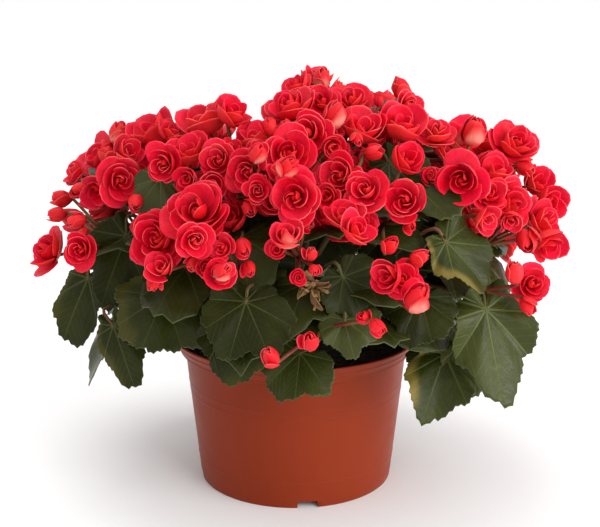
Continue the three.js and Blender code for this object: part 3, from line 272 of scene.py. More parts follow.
# More leaves, in rings: at the sides and back, and two under the gap near the top. First and last azimuth,
# count, radius, height, outward reach of the tip, rise of the tip, length
LEAF_RINGS = [
    (0, 184, 8, 150, 172, 0.74, -0.6, 66),
    (12, 150, 4, 146, 216, 0.9, -0.25, 50),
    (50, 130, 2, 104, 270, 0.85, -0.1, 46),
    (95, 165, 2, 22, 270, 0.95, 0.05, 54),
]
RING_SEED, RING_TURN, RING_REACH, RING_SWAY, RING_STEP = 7703, 6, 6, 24, 11
RING_SIZE, RING_DROOP, RING_TONES = (0.88, 0.24), 0.22, (0.4, 0.65, 0.9)
OUTWARD_WAVE = 0.05

# Small leaves between the stems: height angle on the dome, how many round it, share of the dome's size
INNER_LEAVES = [(4, 18, 0.62), (20, 16, 0.7), (36, 14, 0.72), (52, 9, 0.7), (70, 5, 0.68)]
INNER_SEED, INNER_LOWEST, INNER_SWAY, INNER_DROP, INNER_TURN = 4211, 168, 8, 0.9, 0.8
INNER_LENGTH, INNER_DROOP, INNER_TONE, INNER_SAG, INNER_STALK = (40, 16), 0.3, 0.3, 0.2, 6

# The points of a leaf's grid: shares of its reach outwards, and how many round it
LEAF_GRID = (np.array([0.03, 0.18, 0.34, 0.5, 0.65, 0.78, 0.89, 0.96, 1.0]), 118)
INNER_LEAF_GRID = (np.array([0.03, 0.3, 0.6, 0.86, 1.0]), 38)
# Its oblique heart shape: the heart, the sinus at the stalk, the one larger side and the tip
BLADE_HEART, BLADE_SINUS, SINUS_WIDTH = (0.66, 0.28, 0.06), 0.85, 0.35
BLADE_OBLIQUE, BLADE_TIP, TIP_WIDTH, TIP_CROWDING = 0.12, 0.1, 0.3, 0.2
# The forms of its edge, as depth and count: lobes, a scallop at each main vein, and teeth of uneven depth
LEAF_LOBES, LEAF_SCALLOP, LEAF_TOOTH, UNEVEN_TEETH = ((0.06, 4), (0.055, 7)), 0.065, 0.018, 31
# Its relief, in the same terms: broad waves, a fine ruffle at the edge, and folds along the main veins
LEAF_WAVE, LEAF_RUFFLE, LEAF_FOLD, MAIN_VEINS = (1.3, 5), (0.014, 14), 0.045, 9
LEAF_THICKNESS = 0.9
# How far the leaf's texture coordinates reach, in leaf lengths
LEAF_SPAN = 2.4

# Petals of each form, layer by layer, in shares of the bloom's radius: petals, rim radius, rim height,
# belly radius, belly height, half width in degrees, drop of the rim's corners, inward curl of the sides
PETAL_LAYERS = {
    "full_rose": [
        (5, 1.17, 0.0, 0.86, -0.54, 50, 0.48, 0.02), (4, 0.92, 0.28, 0.84, -0.4, 58, 0.42, 0.06),
        (4, 0.62, 0.38, 0.68, -0.24, 56, 0.42, 0.08), (3, 0.36, 0.38, 0.5, -0.08, 64, 0.36, 0.08),
        (3, 0.14, 0.34, 0.34, 0.04, 70, 0.3, 0.08),
    ],
    "rose": [
        (4, 1.17, 0.04, 0.86, -0.52, 56, 0.46, 0.02), (3, 0.84, 0.34, 0.8, -0.36, 68, 0.4, 0.06),
        (3, 0.48, 0.37, 0.58, -0.14, 62, 0.4, 0.1), (4, 0.18, 0.36, 0.36, 0, 50, 0.4, 0.08),
    ],
    "filler_rose": [
        (4, 1.24, 0.04, 0.86, -0.52, 55, 0.46, 0.02), (3, 0.84, 0.34, 0.8, -0.36, 68, 0.4, 0.06),
        (3, 0.34, 0.36, 0.52, -0.06, 62, 0.4, 0.1),
    ],
    "cup": [
        (3, 1.08, 0.42, 1.06, -0.62, 70, 0.42, 0.06), (3, 0.72, 0.44, 0.78, -0.4, 70, 0.38, 0.08),
        (3, 0.34, 0.3, 0.5, -0.2, 72, 0.34, 0.08),
    ],
    "bud": [
        (1, 0.9, 0.52, 1.02, -0.4, 48, 0.5, 0.02), (3, 0.3, 0.86, 1.0, -0.36, 78, 0.24, 0.06),
        (2, 0.08, 0.84, 0.84, -0.3, 100, 0.16, 0.04),
    ],
}
# The petal that closes over a bloom, for the ones that show a pale back
COVER_PETAL = (1, 0.42, 0.74, 1.16, -0.36, 52, 0.44, 0.02)
# A rose of this radius or more has one layer more
FULL_ROSE_RADIUS = 19
PETAL_BASE, PETAL_THICKNESS, PETAL_TUCK, PETAL_SPREAD = 0.09, 0.5, 0.08, 1.05
# How much the petals vary: size, rim height, width, the notch at the end, wave and roll of the rim
SIZE_VARIETY, HEIGHT_VARIETY, WIDTH_VARIETY, NOTCH_VARIETY = 0.28, 0.26, 0.24, 0.16
PETAL_WAVE, PETAL_ROLL, ROLL_START = 0.05, 0.1, 0.75
# How layers are set against each other, and how a bloom's petals stray
LAYER_TURN, LAYER_STEP, TURN_VARIETY, LAYER_SWAY, PALE_SHARE = 0.46, 0.06, 0.44, 0.2, 0.7
PETAL_FOOT, COVER_VARIETY = 0.92, 0.9
# The plug at a bloom's heart: its top above the bloom's middle, and its radii from foot to top
CORE_TOP, CORE_RADII = {"rose": 0.16, "cup": -0.06}, np.array([0.08, 0.17, 0.04])
CORE_FOOT, CORE_NECK = 0.9, 0.2
# The points of a petal's grid, along it and across it, by how near the viewer it is
PETAL_GRIDS = {
    "shown": (np.array([0, 0.28, 0.54, 0.77, 0.93, 1.0]),
              np.array([-1, -0.93, -0.77, -0.54, -0.28, 0, 0.28, 0.54, 0.77, 0.93, 1])),
    "far": (np.array([0, 0.32, 0.62, 0.88, 1.0]),
            np.array([-1, -0.9, -0.64, -0.34, 0, 0.34, 0.64, 0.9, 1])),
    "filler": (np.array([0, 0.42, 0.8, 1.0]), np.array([-1, -0.86, -0.46, 0, 0.46, 0.86, 1])),
}

# Small blooms deeper in the plant, which fill the room between the others
FILLER_SEED, FILLER_TRIES, FILLER_RADIUS, FILLER_SIZE = 3301, 6000, 14, (0.8, 0.4)
# Where one is tried: the sine of its height angle, and its share of the dome's size
FILLER_SINE, FILLER_SHARE = (-0.12, 1.1), (0.76, 0.16)
# It needs room, a place that no other bloom hides, and this many neighbours within reach
FILLER_ROOM, FILLER_COVER, FILLER_REACH, FILLER_NEIGHBOURS = 0.64, 0.35, 56, 4
FILLER_LOWEST, FILLER_SLOPE = 238, 0.14
FILLER_ROSES, FILLER_SWAY = 0.6, 0.7
# The part of a leaf's blade that blooms keep clear of: its middle, its reach, room at the edge and the face
BLADE_MIDDLE, BLADE_REACH, BLADE_EDGE_ROOM, BLADE_ROOM = 0.4, 0.58, 0.9, 1.1
# Gaps between the blooms that face the viewer, as column, row and radius in the picture
GAPS = [
    (108, 228, 28), (124, 206, 20), (251, 209, 19), (264, 234, 20), (321, 247, 14), (364, 240, 12),
    (402, 230, 24), (436, 217, 15), (428, 196, 18), (205, 226, 10), (503, 242, 28), (266, 116, 24),
    (72, 226, 20), (61, 239, 12), (299, 112, 16), (433, 150, 14), (243, 268, 18), (398, 252, 12),
    (316, 212, 15), (303, 229, 12), (227, 192, 12), (301, 274, 12), (224, 132, 10),
]
# Only what is nearer the viewer than this lies in a gap
GAP_DEPTH = 60

# Blooms with a pale outer petal, by their place in the picture
PALE_BLOOMS = [(121, 134), (321, 75), (336, 112), (257, 152), (287, 167), (470, 128), (524, 168),
               (225, 268), (288, 228), (416, 300)]
PALE_REACH = 14
# More pale buds, in front of their neighbours, in the same values as the blooms of a spray
PALE_BUDS = [
    (121, 134, 0, 11, "bud", 0.3, 0.8), (321, 79, 0, 10, "bud", 0.2, 0.85),
    (258, 156, 0, 10, "bud", 0.3, 0.7), (288, 170, 0, 11, "bud", 0.5, 0.6),
    (468, 134, 0, 14, "bud", 0.15, 0.8), (523, 168, 0, 8, "bud", 0.5, -0.3),
    (224, 271, 0, 10, "bud", 0.6, 0.4),
]
BUD_ROOM, BUD_STEP = 0.8, 2


# Layout

def draws(seed):
    """A seeded stream of numbers from 0 to 1, always in the same order."""
    state = seed

    def draw():
        nonlocal state
        state = (state * DRAW_FACTOR) % DRAW_MODULUS
        return state / DRAW_MODULUS
    return draw


def drawn(draw, least, spread):
    return least + spread * draw()


def length_of(vector):
    return math.sqrt(vector.dot(vector))


def unit(vector):
    return vector / length_of(vector)


EYE = np.array([0.0, VIEW_Y, VIEW_Z])
PICTURE_UP = np.array([0, math.sin(VIEW_TILT), math.cos(VIEW_TILT)])
PICTURE_OUT = np.array([0, -math.cos(VIEW_TILT), math.sin(VIEW_TILT)])


def sight(column, row):
    """The reference view's line of sight through a column and row."""
    across = (column - VIEW_COLUMN) / VIEW_FOCAL
    above = (VIEW_ROW - row) / VIEW_FOCAL
    return np.array([across, 0, 0]) - PICTURE_OUT + above * PICTURE_UP


def on_dome(column, row, lift):
    """Where a line of sight meets the dome, or passes closest to it, moved towards the viewer by lift."""
    line = sight(column, row)
    start = (EYE - DOME_MIDDLE) / DOME_HALF
    step = line / DOME_HALF
    a = step.dot(step)
    b = start.dot(step)
    inside = b * b - a * (start.dot(start) - 1)
    distance = (-b - math.sqrt(inside)) / a if inside > 0 else -b / a
    return EYE + line * (distance - lift)


def seen_at(column, row, y):
    """The point behind a place in the picture that has the given y."""
    line = sight(column, row)
    return EYE + line * (y - VIEW_Y) / line[1]


def facing(right, up):
    """A direction from its shares to the right and up in the picture, the rest of it to the viewer."""
    out = math.sqrt(max(0, 1 - right * right - up * up))
    return unit(np.array([right, 0, 0]) + up * PICTURE_UP + out * PICTURE_OUT)


def dome_point(azimuth, height, share):
    a, h = math.radians(azimuth), math.radians(height)
    way = np.array([math.cos(h) * math.cos(a), math.cos(h) * math.sin(a), math.sin(h)])
    return DOME_MIDDLE + share * DOME_HALF * way


def new_bloom(at, axis, radius, form, grid, pale=False):
    """A bloom as it is laid out. Its grid says how fine its petals are, and which ones the viewer sees."""
    return {"at": at, "axis": axis, "radius": radius, "form": form, "grid": grid,
            "shown": grid == "shown", "pale": pale}


def shown_blooms(rows):
    blooms = []
    for column, row, lift, apparent, form, right, up in rows:
        at = on_dome(column, row, lift)
        radius = SHOWN_SIZE * apparent * (EYE - at).dot(PICTURE_OUT) / EYE.dot(PICTURE_OUT)
        pale = any(math.hypot(column - x, row - y) < PALE_REACH for x, y in PALE_BLOOMS)
        blooms.append(new_bloom(at, facing(right, up), radius, form, "shown", pale))
    return blooms


def other_blooms(azimuth, height, share, count, draw):
    """Blooms of a spray that the picture doesn't show: a large one, with smaller ones round it."""
    middle = dome_point(azimuth, height, share)
    out = unit(middle - HEART)
    side = unit(np.cross([0, 0, 1], out))
    up = np.cross(out, side)
    blooms = []
    start = 360 * draw()
    for i in range(count):
        turn = math.radians(start + 360 * i / (count - 1))
        away = 0 if i == 0 else CLUSTER_SPREAD + CLUSTER_JITTER * (draw() - 0.5)
        ring = side * math.cos(turn) + up * math.sin(turn)
        depth = CLUSTER_JITTER * (draw() - 0.5) - CLUSTER_CURVE * away * away
        lean = CLUSTER_LEAN * (1 if i > 0 else MIDDLE_LEAN)
        axis = unit(out + lean * ring + np.array([0, 0, CLUSTER_LIFT]))
        size = CLUSTER_LARGE if i == 0 else drawn(draw, *CLUSTER_SMALL)
        kind = draw()
        form = "rose" if i == 0 or kind < ROSE_SHARE else "cup" if kind < CUP_SHARE else "bud"
        radius = CLUSTER_BUD * size if form == "bud" else size
        blooms.append(new_bloom(middle + away * ring + depth * out, axis, radius, form, "far"))
    return blooms


def as_things(blooms):
    """Blooms as rows of middle and radius."""
    return np.array([[*bloom["at"], bloom["radius"]] for bloom in blooms])


def distances(at, things):
    return np.linalg.norm(things[:, :3] - at, axis=1)


def is_crowded(at, radius, things, room):
    """Whether a round thing comes closer to another one than a share of their two radii."""
    return (distances(at, things) < room * (things[:, 3] + radius)).any()


def is_covered(at, radius, things):
    """Whether another bloom hides this place from outside."""
    out = unit(at - HEART)
    apart = things[:, :3] - at
    along = apart @ out
    beside = np.linalg.norm(apart - along[:, None] * out, axis=1)
    return ((along > 0) & (beside + FILLER_COVER * radius < things[:, 3])).any()


def in_leaf(at, radius, leaves):
    """Whether a round thing would touch a leaf's blade."""
    for leaf in leaves:
        away = at - leaf["at"] - BLADE_MIDDLE * leaf["length"] * leaf["tip"]
        reach = BLADE_REACH * leaf["length"] + BLADE_EDGE_ROOM * radius
        if abs(away.dot(leaf["face"])) < BLADE_ROOM * radius and length_of(away) < reach:
            return True
    return False


def in_gap(at):
    """Whether a place on the viewer's side lies in one of the gaps between the blooms."""
    away = at - EYE
    depth = -away.dot(PICTURE_OUT)
    column = VIEW_COLUMN + VIEW_FOCAL * away[0] / depth
    row = VIEW_ROW - VIEW_FOCAL * away.dot(PICTURE_UP) / depth
    return at[1] < GAP_DEPTH and any(math.hypot(column - x, row - y) < radius for x, y, radius in GAPS)


def filler_blooms(blooms, leaves):
    """Small blooms a little inside the dome, wherever the others leave room for one."""
    draw = draws(FILLER_SEED)
    things = as_things(blooms)
    fillers = []
    for _ in range(FILLER_TRIES):
        height = math.degrees(math.asin(drawn(draw, *FILLER_SINE)))
        at = dome_point(360 * draw(), height, drawn(draw, *FILLER_SHARE))
        radius = FILLER_RADIUS * drawn(draw, *FILLER_SIZE)
        neighbours = (distances(at, things[:len(blooms)]) < FILLER_REACH).sum()
        if neighbours < FILLER_NEIGHBOURS or at[2] < FILLER_LOWEST - FILLER_SLOPE * at[1]:
            continue
        if is_crowded(at, radius, things, FILLER_ROOM) or in_leaf(at, radius, leaves):
            continue
        if is_covered(at, radius, things):
            continue
        sway = np.array([draw() - 0.5, draw() - 0.5, draw() - 0.1])
        form = "rose" if draw() < FILLER_ROSES else "cup"
        axis = unit(unit(at - HEART) + FILLER_SWAY * sway)
        fillers.append(new_bloom(at, axis, radius, form, "filler"))
        things = np.vstack([things, [*at, radius]])
    return fillers


def come_forward(bud, blooms):
    """Moves a bud towards the viewer until it is in front of its neighbours."""
    things = as_things(blooms)
    while is_crowded(bud["at"], bud["radius"], things, BUD_ROOM):
        bud["at"] = bud["at"] + BUD_STEP * PICTURE_OUT


def settle(blooms):
    """Crowded blooms move apart: shown ones along the line of sight, the others straight apart."""
    start = [bloom["at"] for bloom in blooms]
    pairs = []
    for i, first in enumerate(blooms):
        for j in range(i + 1, len(blooms)):
            room = first["radius"] + blooms[j]["radius"]
            if length_of(start[i] - start[j]) < room + 2 * SETTLE_REACH:
                pairs.append((i, j, room))
    for i, j, room in pairs * SETTLE_ROUNDS:
        first, second = blooms[i], blooms[j]
        apart = second["at"] - first["at"]
        lack = room - length_of(apart)
        if lack <= 0:
            continue
        both_shown = first["shown"] and second["shown"]
        way = PICTURE_OUT * (1 if apart.dot(PICTURE_OUT) >= 0 else -1) if both_shown else unit(apart)
        share = 0.5 if first["shown"] == second["shown"] else 1
        for bloom, other, k, sign in ((first, second, i, -1), (second, first, j, 1)):
            if other["shown"] or not bloom["shown"]:
                bloom["at"] = bloom["at"] + sign * way * lack * share
            moved = bloom["at"] - start[k]
            if length_of(moved) > SETTLE_REACH:
                bloom["at"] = start[k] + unit(moved) * SETTLE_REACH


def spray_frame(blooms):
    """Where a spray's stalk starts and forks."""
    middle = sum(bloom["at"] for bloom in blooms) / len(blooms)
    inward = unit(HEART - middle)
    return middle + inward * STALK_DEPTH, middle + inward * (STALK_DEPTH - STALK_LENGTH)


def turn_from_fork(bloom, fork):
    """No bloom looks back at the fork that its stalk comes from."""
    away = unit(bloom["at"] - fork)
    along = bloom["axis"].dot(away)
    if along < PEDICEL_LEAN:
        sideways = unit(bloom["axis"] - along * away)
        bloom["axis"] = sideways * math.sqrt(1 - PEDICEL_LEAN ** 2) + PEDICEL_LEAN * away


def gaps_to_segment(start, end, things):
    """How far each round thing is from being clear of a straight stretch: above 0 is too close."""
    along = end - start
    share = np.clip((things[:, :3] - start) @ along / max(along.dot(along), TINY), 0, 1)
    nearest = start + share[:, None] * along
    distance = np.linalg.norm(things[:, :3] - nearest, axis=1)
    return things[:, 3] * BEND_SHARE + BEND_ROOM - distance


def clear_path(start, end, things, bends):
    """A stalk's path, bent clear of round things in its way where there are any."""
    lacks = gaps_to_segment(start, end, things)
    nearby = things[lacks > -BEND_REACH]
    if not (lacks > 0).any():
        return [start, end]
    path = [start + (end - start) * k / (bends + 1) for k in range(bends + 2)]
    for _ in range(BEND_ROUNDS):
        for k in range(bends + 1):
            for share in BEND_SHARES:
                point = path[k] + (path[k + 1] - path[k]) * share
                away = point - nearby[:, :3]
                distance = np.linalg.norm(away, axis=1)
                push = np.maximum(nearby[:, 3] * BEND_SHARE + BEND_ROOM - distance, 0)
                way = (away / distance[:, None] * 0.5 * push[:, None]).sum(axis=0)
                if k > 0:
                    path[k] = path[k] + way
                if k < bends:
                    path[k + 1] = path[k + 1] + way
    return path


def beads(path):
    """Points along a path, as round things for other stalks to keep clear of."""
    rows = []
    for start, end in zip(path, path[1:]):
        count = math.ceil(length_of(end - start) / BEAD_STEP)
        rows += [[*(start + (end - start) * i / count), BEAD_RADIUS] for i in range(count + 1)]
    return rows


def crown_root(towards, depth):
    """Where a stem leaves the crown, below its top, on the side that the stem grows towards."""
    level = np.array([towards[0], towards[1], 0])
    return np.array([0, 0, CROWN_TOP - depth]) + level * min(1, ROOT_OUT * CROWN_RADIUS / length_of(level))


def stem_path(azimuth, height, share):
    hub = dome_point(azimuth, height, share)
    root = crown_root(hub, STEM_ROOT)
    return [root, (root + hub) / 2 + np.array([0, 0, STEM_LIFT]), hub]


def stem_joints(root, bend, hub):
    """Where branches and leaf stalks may join a stem."""
    points = []
    for k in range(STEM_JOINTS):
        share = FIRST_JOINT + (LAST_JOINT - FIRST_JOINT) * k / (STEM_JOINTS - 1)
        near = root + (bend - root) * 2 * share
        far = bend + (hub - bend) * (2 * share - 1)
        points.append(near if share < 0.5 else far)
    return points


def path_to_joint(start, joints, things, bends):
    """The clearest path from a point to one of the nearest free joints, which it then takes."""
    nearest = sorted(joints, key=lambda joint: length_of(joint - start))[:JOINT_CHOICES]
    paths = [clear_path(start, joint, things, bends) for joint in nearest]
    worst = [max(gaps_to_segment(a, b, things).max() for a, b in zip(path, path[1:])) for path in paths]
    best = next((k for k, lack in enumerate(worst) if lack <= 0), int(np.argmin(worst)))
    joints[:] = [joint for joint in joints if joint is not nearest[best]]
    return paths[best]


def petiole_path(leaf, joints, things):
    """A leaf stalk's path to its stem. A low leaf's stalk comes from the crown over the pot's rim."""
    back = PETIOLE_START + PETIOLE_BACK * leaf["length"]
    first = leaf["at"] - leaf["tip"] * back - leaf["face"] * PETIOLE_DROP
    if leaf["at"][2] >= PETIOLE_LOWEST:
        return path_to_joint(first, joints, things, 2)
    root = crown_root(first, PETIOLE_ROOT)
    bend = first + (root - first) * PETIOLE_BEND
    bend[2] = max(bend[2] + PETIOLE_RISE, PETIOLE_OVER_RIM)
    return [first, bend, root]


def shown_leaf(column, row, y, tip_column, tip_row, width, right, up, droop, wave, yellow, tone):
    at = seen_at(column, row, y)
    face = facing(right, up)
    tip_line = sight(tip_column, tip_row)
    tip_end = EYE + tip_line * (at - EYE).dot(face) / tip_line.dot(face)
    length = length_of(tip_end - at)
    return {"at": at, "tip": (tip_end - at) / length, "face": face, "length": length, "width": width,
            "droop": droop, "wave": wave, "yellow": yellow, "tone": tone}


def outward_leaf(at, tip, length, droop, tone):
    """A leaf that looks up, with its tip in the given direction."""
    tip = unit(tip)
    face = unit(np.array([0, 0, 1]) - tip * tip[2])
    return {"at": at, "tip": tip, "face": face, "length": length, "width": 1, "droop": droop,
            "wave": OUTWARD_WAVE, "yellow": 0, "tone": tone}


def ring_leaves(ring, draw):
    first, last, count, radius, height, reach, drop, length = ring
    leaves = []
    for i in range(count):
        azimuth = math.radians(first + (last - first) * i / (count - 1) + RING_TURN * (draw() - 0.5))
        away = radius + RING_REACH * (draw() - 0.5)
        raised = height + RING_REACH * (draw() - 0.5) + RING_STEP * (1 if i % 2 == 0 else -1)
        at = np.array([away * math.cos(azimuth), away * math.sin(azimuth), raised])
        turned = azimuth + math.radians(RING_SWAY * (draw() - 0.5))
        tip = np.array([reach * math.cos(turned), reach * math.sin(turned), drop])
        own_length = length * drawn(draw, *RING_SIZE)
        leaves.append(outward_leaf(at, tip, own_length, RING_DROOP, RING_TONES[i % len(RING_TONES)]))
    return leaves


def inner_leaves():
    draw = draws(INNER_SEED)
    leaves = []
    for height, count, share in INNER_LEAVES:
        for i in range(count):
            azimuth = 360 * (i + 0.5 * draw()) / count + height
            at = dome_point(azimuth, height + INNER_SWAY * (draw() - 0.5), share)
            out = unit(at - HEART)
            swing = np.cross(out, [0, 0, 1]) * (draw() - 0.5)
            tip = out + swing - np.array([0, 0, INNER_DROP * draw()])
            leaf = outward_leaf(at, tip, drawn(draw, *INNER_LENGTH), INNER_DROOP, INNER_TONE)
            leaf["face"] = unit(leaf["face"] + INNER_TURN * out)
            leaf["face"] = unit(leaf["face"] - leaf["tip"] * leaf["face"].dot(leaf["tip"]))
            if at[2] + leaf["length"] * (leaf["tip"][2] - INNER_SAG) > INNER_LOWEST:
                leaves.append(leaf)
    return leaves


def leaf_groups():
    draw = draws(RING_SEED)
    return {
        "leaves_front": [shown_leaf(*row) for row in SHOWN_LEAVES],
        "leaves_back": [leaf for ring in LEAF_RINGS for leaf in ring_leaves(ring, draw)],
        "leaves_inner": inner_leaves(),
    }


# Meshes

# The tints of stalks, of parts that don't use one, and of a bloom's plug
STALK_TINT, NO_TINT, CORE_TINT = (0, 0.5, 0, 1), (0, 0, 0, 1), (1, 0.1, 0, 1)
# The length of stalk for one turn of its texture, in mm
TUBE_TEXTURE = 40
# A direction is steep when its upright share is above this
STEEP = 0.9


def add_object(name, data):
    thing = bpy.data.objects.new(name, data)
    bpy.context.scene.collection.objects.link(thing)
    return thing


class Skin:
    """The points and faces of one piece, with a texture coordinate and a tint for each point."""

    def __init__(self):
        self.points, self.coordinates, self.tints, self.faces = [], [], [], []
        self.count = 0

    def add(self, points, faces, coordinates, tint):
        """Adds a block: points in mm, faces as rows of point numbers, and one tint or one per point."""
        self.points.append(points)
        self.coordinates.append(coordinates)
        self.tints.append(np.broadcast_to(tint, (len(points), 4)))
        self.faces.extend(np.asarray(block) + self.count for block in faces)
        self.count += len(points)

    def piece(self, name, material, slot, *nodes):
        mesh = bpy.data.meshes.new(name)
        corners = np.concatenate([block.ravel() for block in self.faces])
        sizes = np.concatenate([np.full(len(block), block.shape[1]) for block in self.faces])
        mesh.vertices.add(self.count)
        mesh.vertices.foreach_set("co", (np.concatenate(self.points) * MM).ravel())
        mesh.loops.add(len(corners))
        mesh.loops.foreach_set("vertex_index", corners)
        mesh.polygons.add(len(sizes))
        mesh.polygons.foreach_set("loop_start", np.cumsum(sizes) - sizes)
        uv = mesh.uv_layers.new(name="UVMap")
        uv.data.foreach_set("uv", np.concatenate(self.coordinates)[corners].ravel())
        tint = mesh.color_attributes.new("tint", "FLOAT_COLOR", "POINT")
        tint.data.foreach_set("color", np.concatenate(self.tints).ravel())
        mesh.update(calc_edges=True)
        mesh.validate()
        mesh.shade_smooth()
        mesh.materials.append(material)
        piece = add_object(name, mesh)
        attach(piece, "root")
        if nodes:
            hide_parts(*nodes)
        return piece


def grid_faces(rows, columns, around=False):
    """Quads between rows of points. With around, each row closes on itself."""
    numbers = np.arange(rows * columns).reshape(rows, columns)
    if around:
        numbers = np.hstack([numbers, numbers[:, :1]])
    corners = [numbers[:-1, :-1], numbers[:-1, 1:], numbers[1:, 1:], numbers[1:, :-1]]
    return np.stack(corners, axis=-1).reshape(-1, 4)


def closed_rings(rings, sides):
    """Faces between rings of points, each with this many, and a cap at both ends."""
    last = (rings - 1) * sides
    caps = [np.arange(sides)[None, ::-1], np.arange(sides)[None] + last]
    return [grid_faces(rings, sides, around=True), *caps]


def revolved_skin(rings):
    """A round piece from its rings of points, one above or inside the other."""
    skin = Skin()
    block = np.concatenate(rings)
    skin.add(block, closed_rings(len(rings), len(rings[0])), np.zeros((len(block), 2)), NO_TINT)
    return skin


def smooth_path(points, steps):
    """Points on a smooth curve through the path's own points. A path of two points stays straight."""
    if len(points) == 2:
        return points
    ends = [2 * points[0] - points[1], *points, 2 * points[-1] - points[-2]]
    curve = []
    for k in range(len(points) - 1):
        a, b, c, d = ends[k:k + 4]
        for i in range(steps):
            t = i / steps
            curve.append(0.5 * (2 * b + (c - a) * t + (2 * a - 5 * b + 4 * c - d) * t * t
                                + (3 * b - a - 3 * c + d) * t ** 3))
    return curve + [points[-1]]


def add_tube(skin, path, radii, sides, tint=STALK_TINT):
    """A round stalk along a path, with a closed end at each side."""
    path = np.array(path)
    radii = np.broadcast_to(radii, len(path))
    ways = np.gradient(path, axis=0)
    ways /= np.linalg.norm(ways, axis=1)[:, None]
    helper = np.array([0, 0, 1.0]) if abs(ways[0][2]) < STEEP else np.array([1.0, 0, 0])
    across = unit(np.cross(ways[0], helper))
    angles = np.arange(sides) * math.tau / sides
    rings = []
    for point, way, radius in zip(path, ways, radii):
        across = unit(across - way * across.dot(way))
        beside = np.cross(way, across)
        ring = np.cos(angles)[:, None] * across + np.sin(angles)[:, None] * beside
        rings.append(point + radius * ring)
    lengths = np.linalg.norm(np.diff(path, axis=0), axis=1)
    steps = np.concatenate([[0], np.cumsum(lengths)]) / TUBE_TEXTURE
    coordinates = np.stack(np.meshgrid(angles / math.tau, steps), axis=-1).reshape(-1, 2)
    skin.add(np.concatenate(rings), closed_rings(len(path), sides), coordinates, tint)


def add_sheet(skin, inner, v, u, tint):
    """A thin closed sheet: a grid of points, its twin on the back, and the edge between them.

    Its rows, v, go from 0 to 1, and its columns, u, from -1 to 1.
    """
    rows, columns = inner.shape[:2]
    normal = np.cross(np.gradient(inner, axis=1), np.gradient(inner, axis=0))
    normal /= np.maximum(np.linalg.norm(normal, axis=-1, keepdims=True), TINY)
    outer = inner + normal * PETAL_THICKNESS
    front = grid_faces(rows, columns)
    numbers = np.arange(rows * columns).reshape(rows, columns)
    edge = np.concatenate([numbers[0, :-1], numbers[:-1, -1], numbers[-1, :0:-1], numbers[:0:-1, 0]])
    after = np.roll(edge, -1)
    count = rows * columns
    rim = np.stack([edge, edge + count, after + count, after], axis=-1)
    tints = np.tile(tint, (2 * count, 1)).astype(float)
    tints[count:, 0] = 1
    points = np.concatenate([inner.reshape(-1, 3), outer.reshape(-1, 3)])
    coordinates = np.stack([(u + 1) / 2 + 0 * v, v + 0 * u], axis=-1).reshape(-1, 2)
    skin.add(points, [front, front[:, ::-1] + count, rim], np.tile(coordinates, (2, 1)), tints)


# Blooms

def add_petal(skin, place, layer, foot, sway, turn, draw, tint, grid):
    """One petal: a broad sheet from the bloom's foot to its rim, tucked under its neighbour at one side."""
    _, rim_radius, rim_height, belly_radius, belly_height, half, drop, curl = layer
    v, u = grid[0][:, None], grid[1][None, :]
    size = 1 + SIZE_VARIETY * (draw() - 0.5)
    lift = HEIGHT_VARIETY * (draw() - 0.5)
    phase = math.tau * draw()
    wave = PETAL_WAVE * min(1, rim_radius) * (0.3 + draw())
    notch = NOTCH_VARIETY * (draw() - 0.5)
    near_rim = np.clip((v - ROLL_START) / (1 - ROLL_START), 0, 1) ** 2
    roll = PETAL_ROLL * draw() * min(1, rim_radius) * near_rim
    half = half * (1 + WIDTH_VARIETY * (draw() - 0.5))
    t = v * (1 - drop * np.abs(u) ** 2.2 - notch * np.exp(-((u / 0.3) ** 2)))
    radius = (1 - t) ** 2 * PETAL_BASE + 2 * t * (1 - t) * belly_radius + t * t * rim_radius * size
    height = (1 - t) ** 2 * foot + 2 * t * (1 - t) * belly_height + t * t * (rim_height + lift)
    radius = radius * (1 - curl * u * u * v) + PETAL_TUCK * u * v + roll
    ripple = wave * v ** 3 * np.sin(1.4 * math.pi * u + phase) - 0.6 * roll
    angle = turn + math.radians(half) * u * (0.55 + 0.45 * np.sqrt(v))
    along = (radius + 0.6 * ripple) * np.cos(angle) + sway[0] * v * v
    across = (radius + 0.6 * ripple) * np.sin(angle) + sway[1] * v * v
    local = np.stack([along, across, height + ripple + 0 * u], axis=-1)
    add_sheet(skin, place(local), v, u, tint)


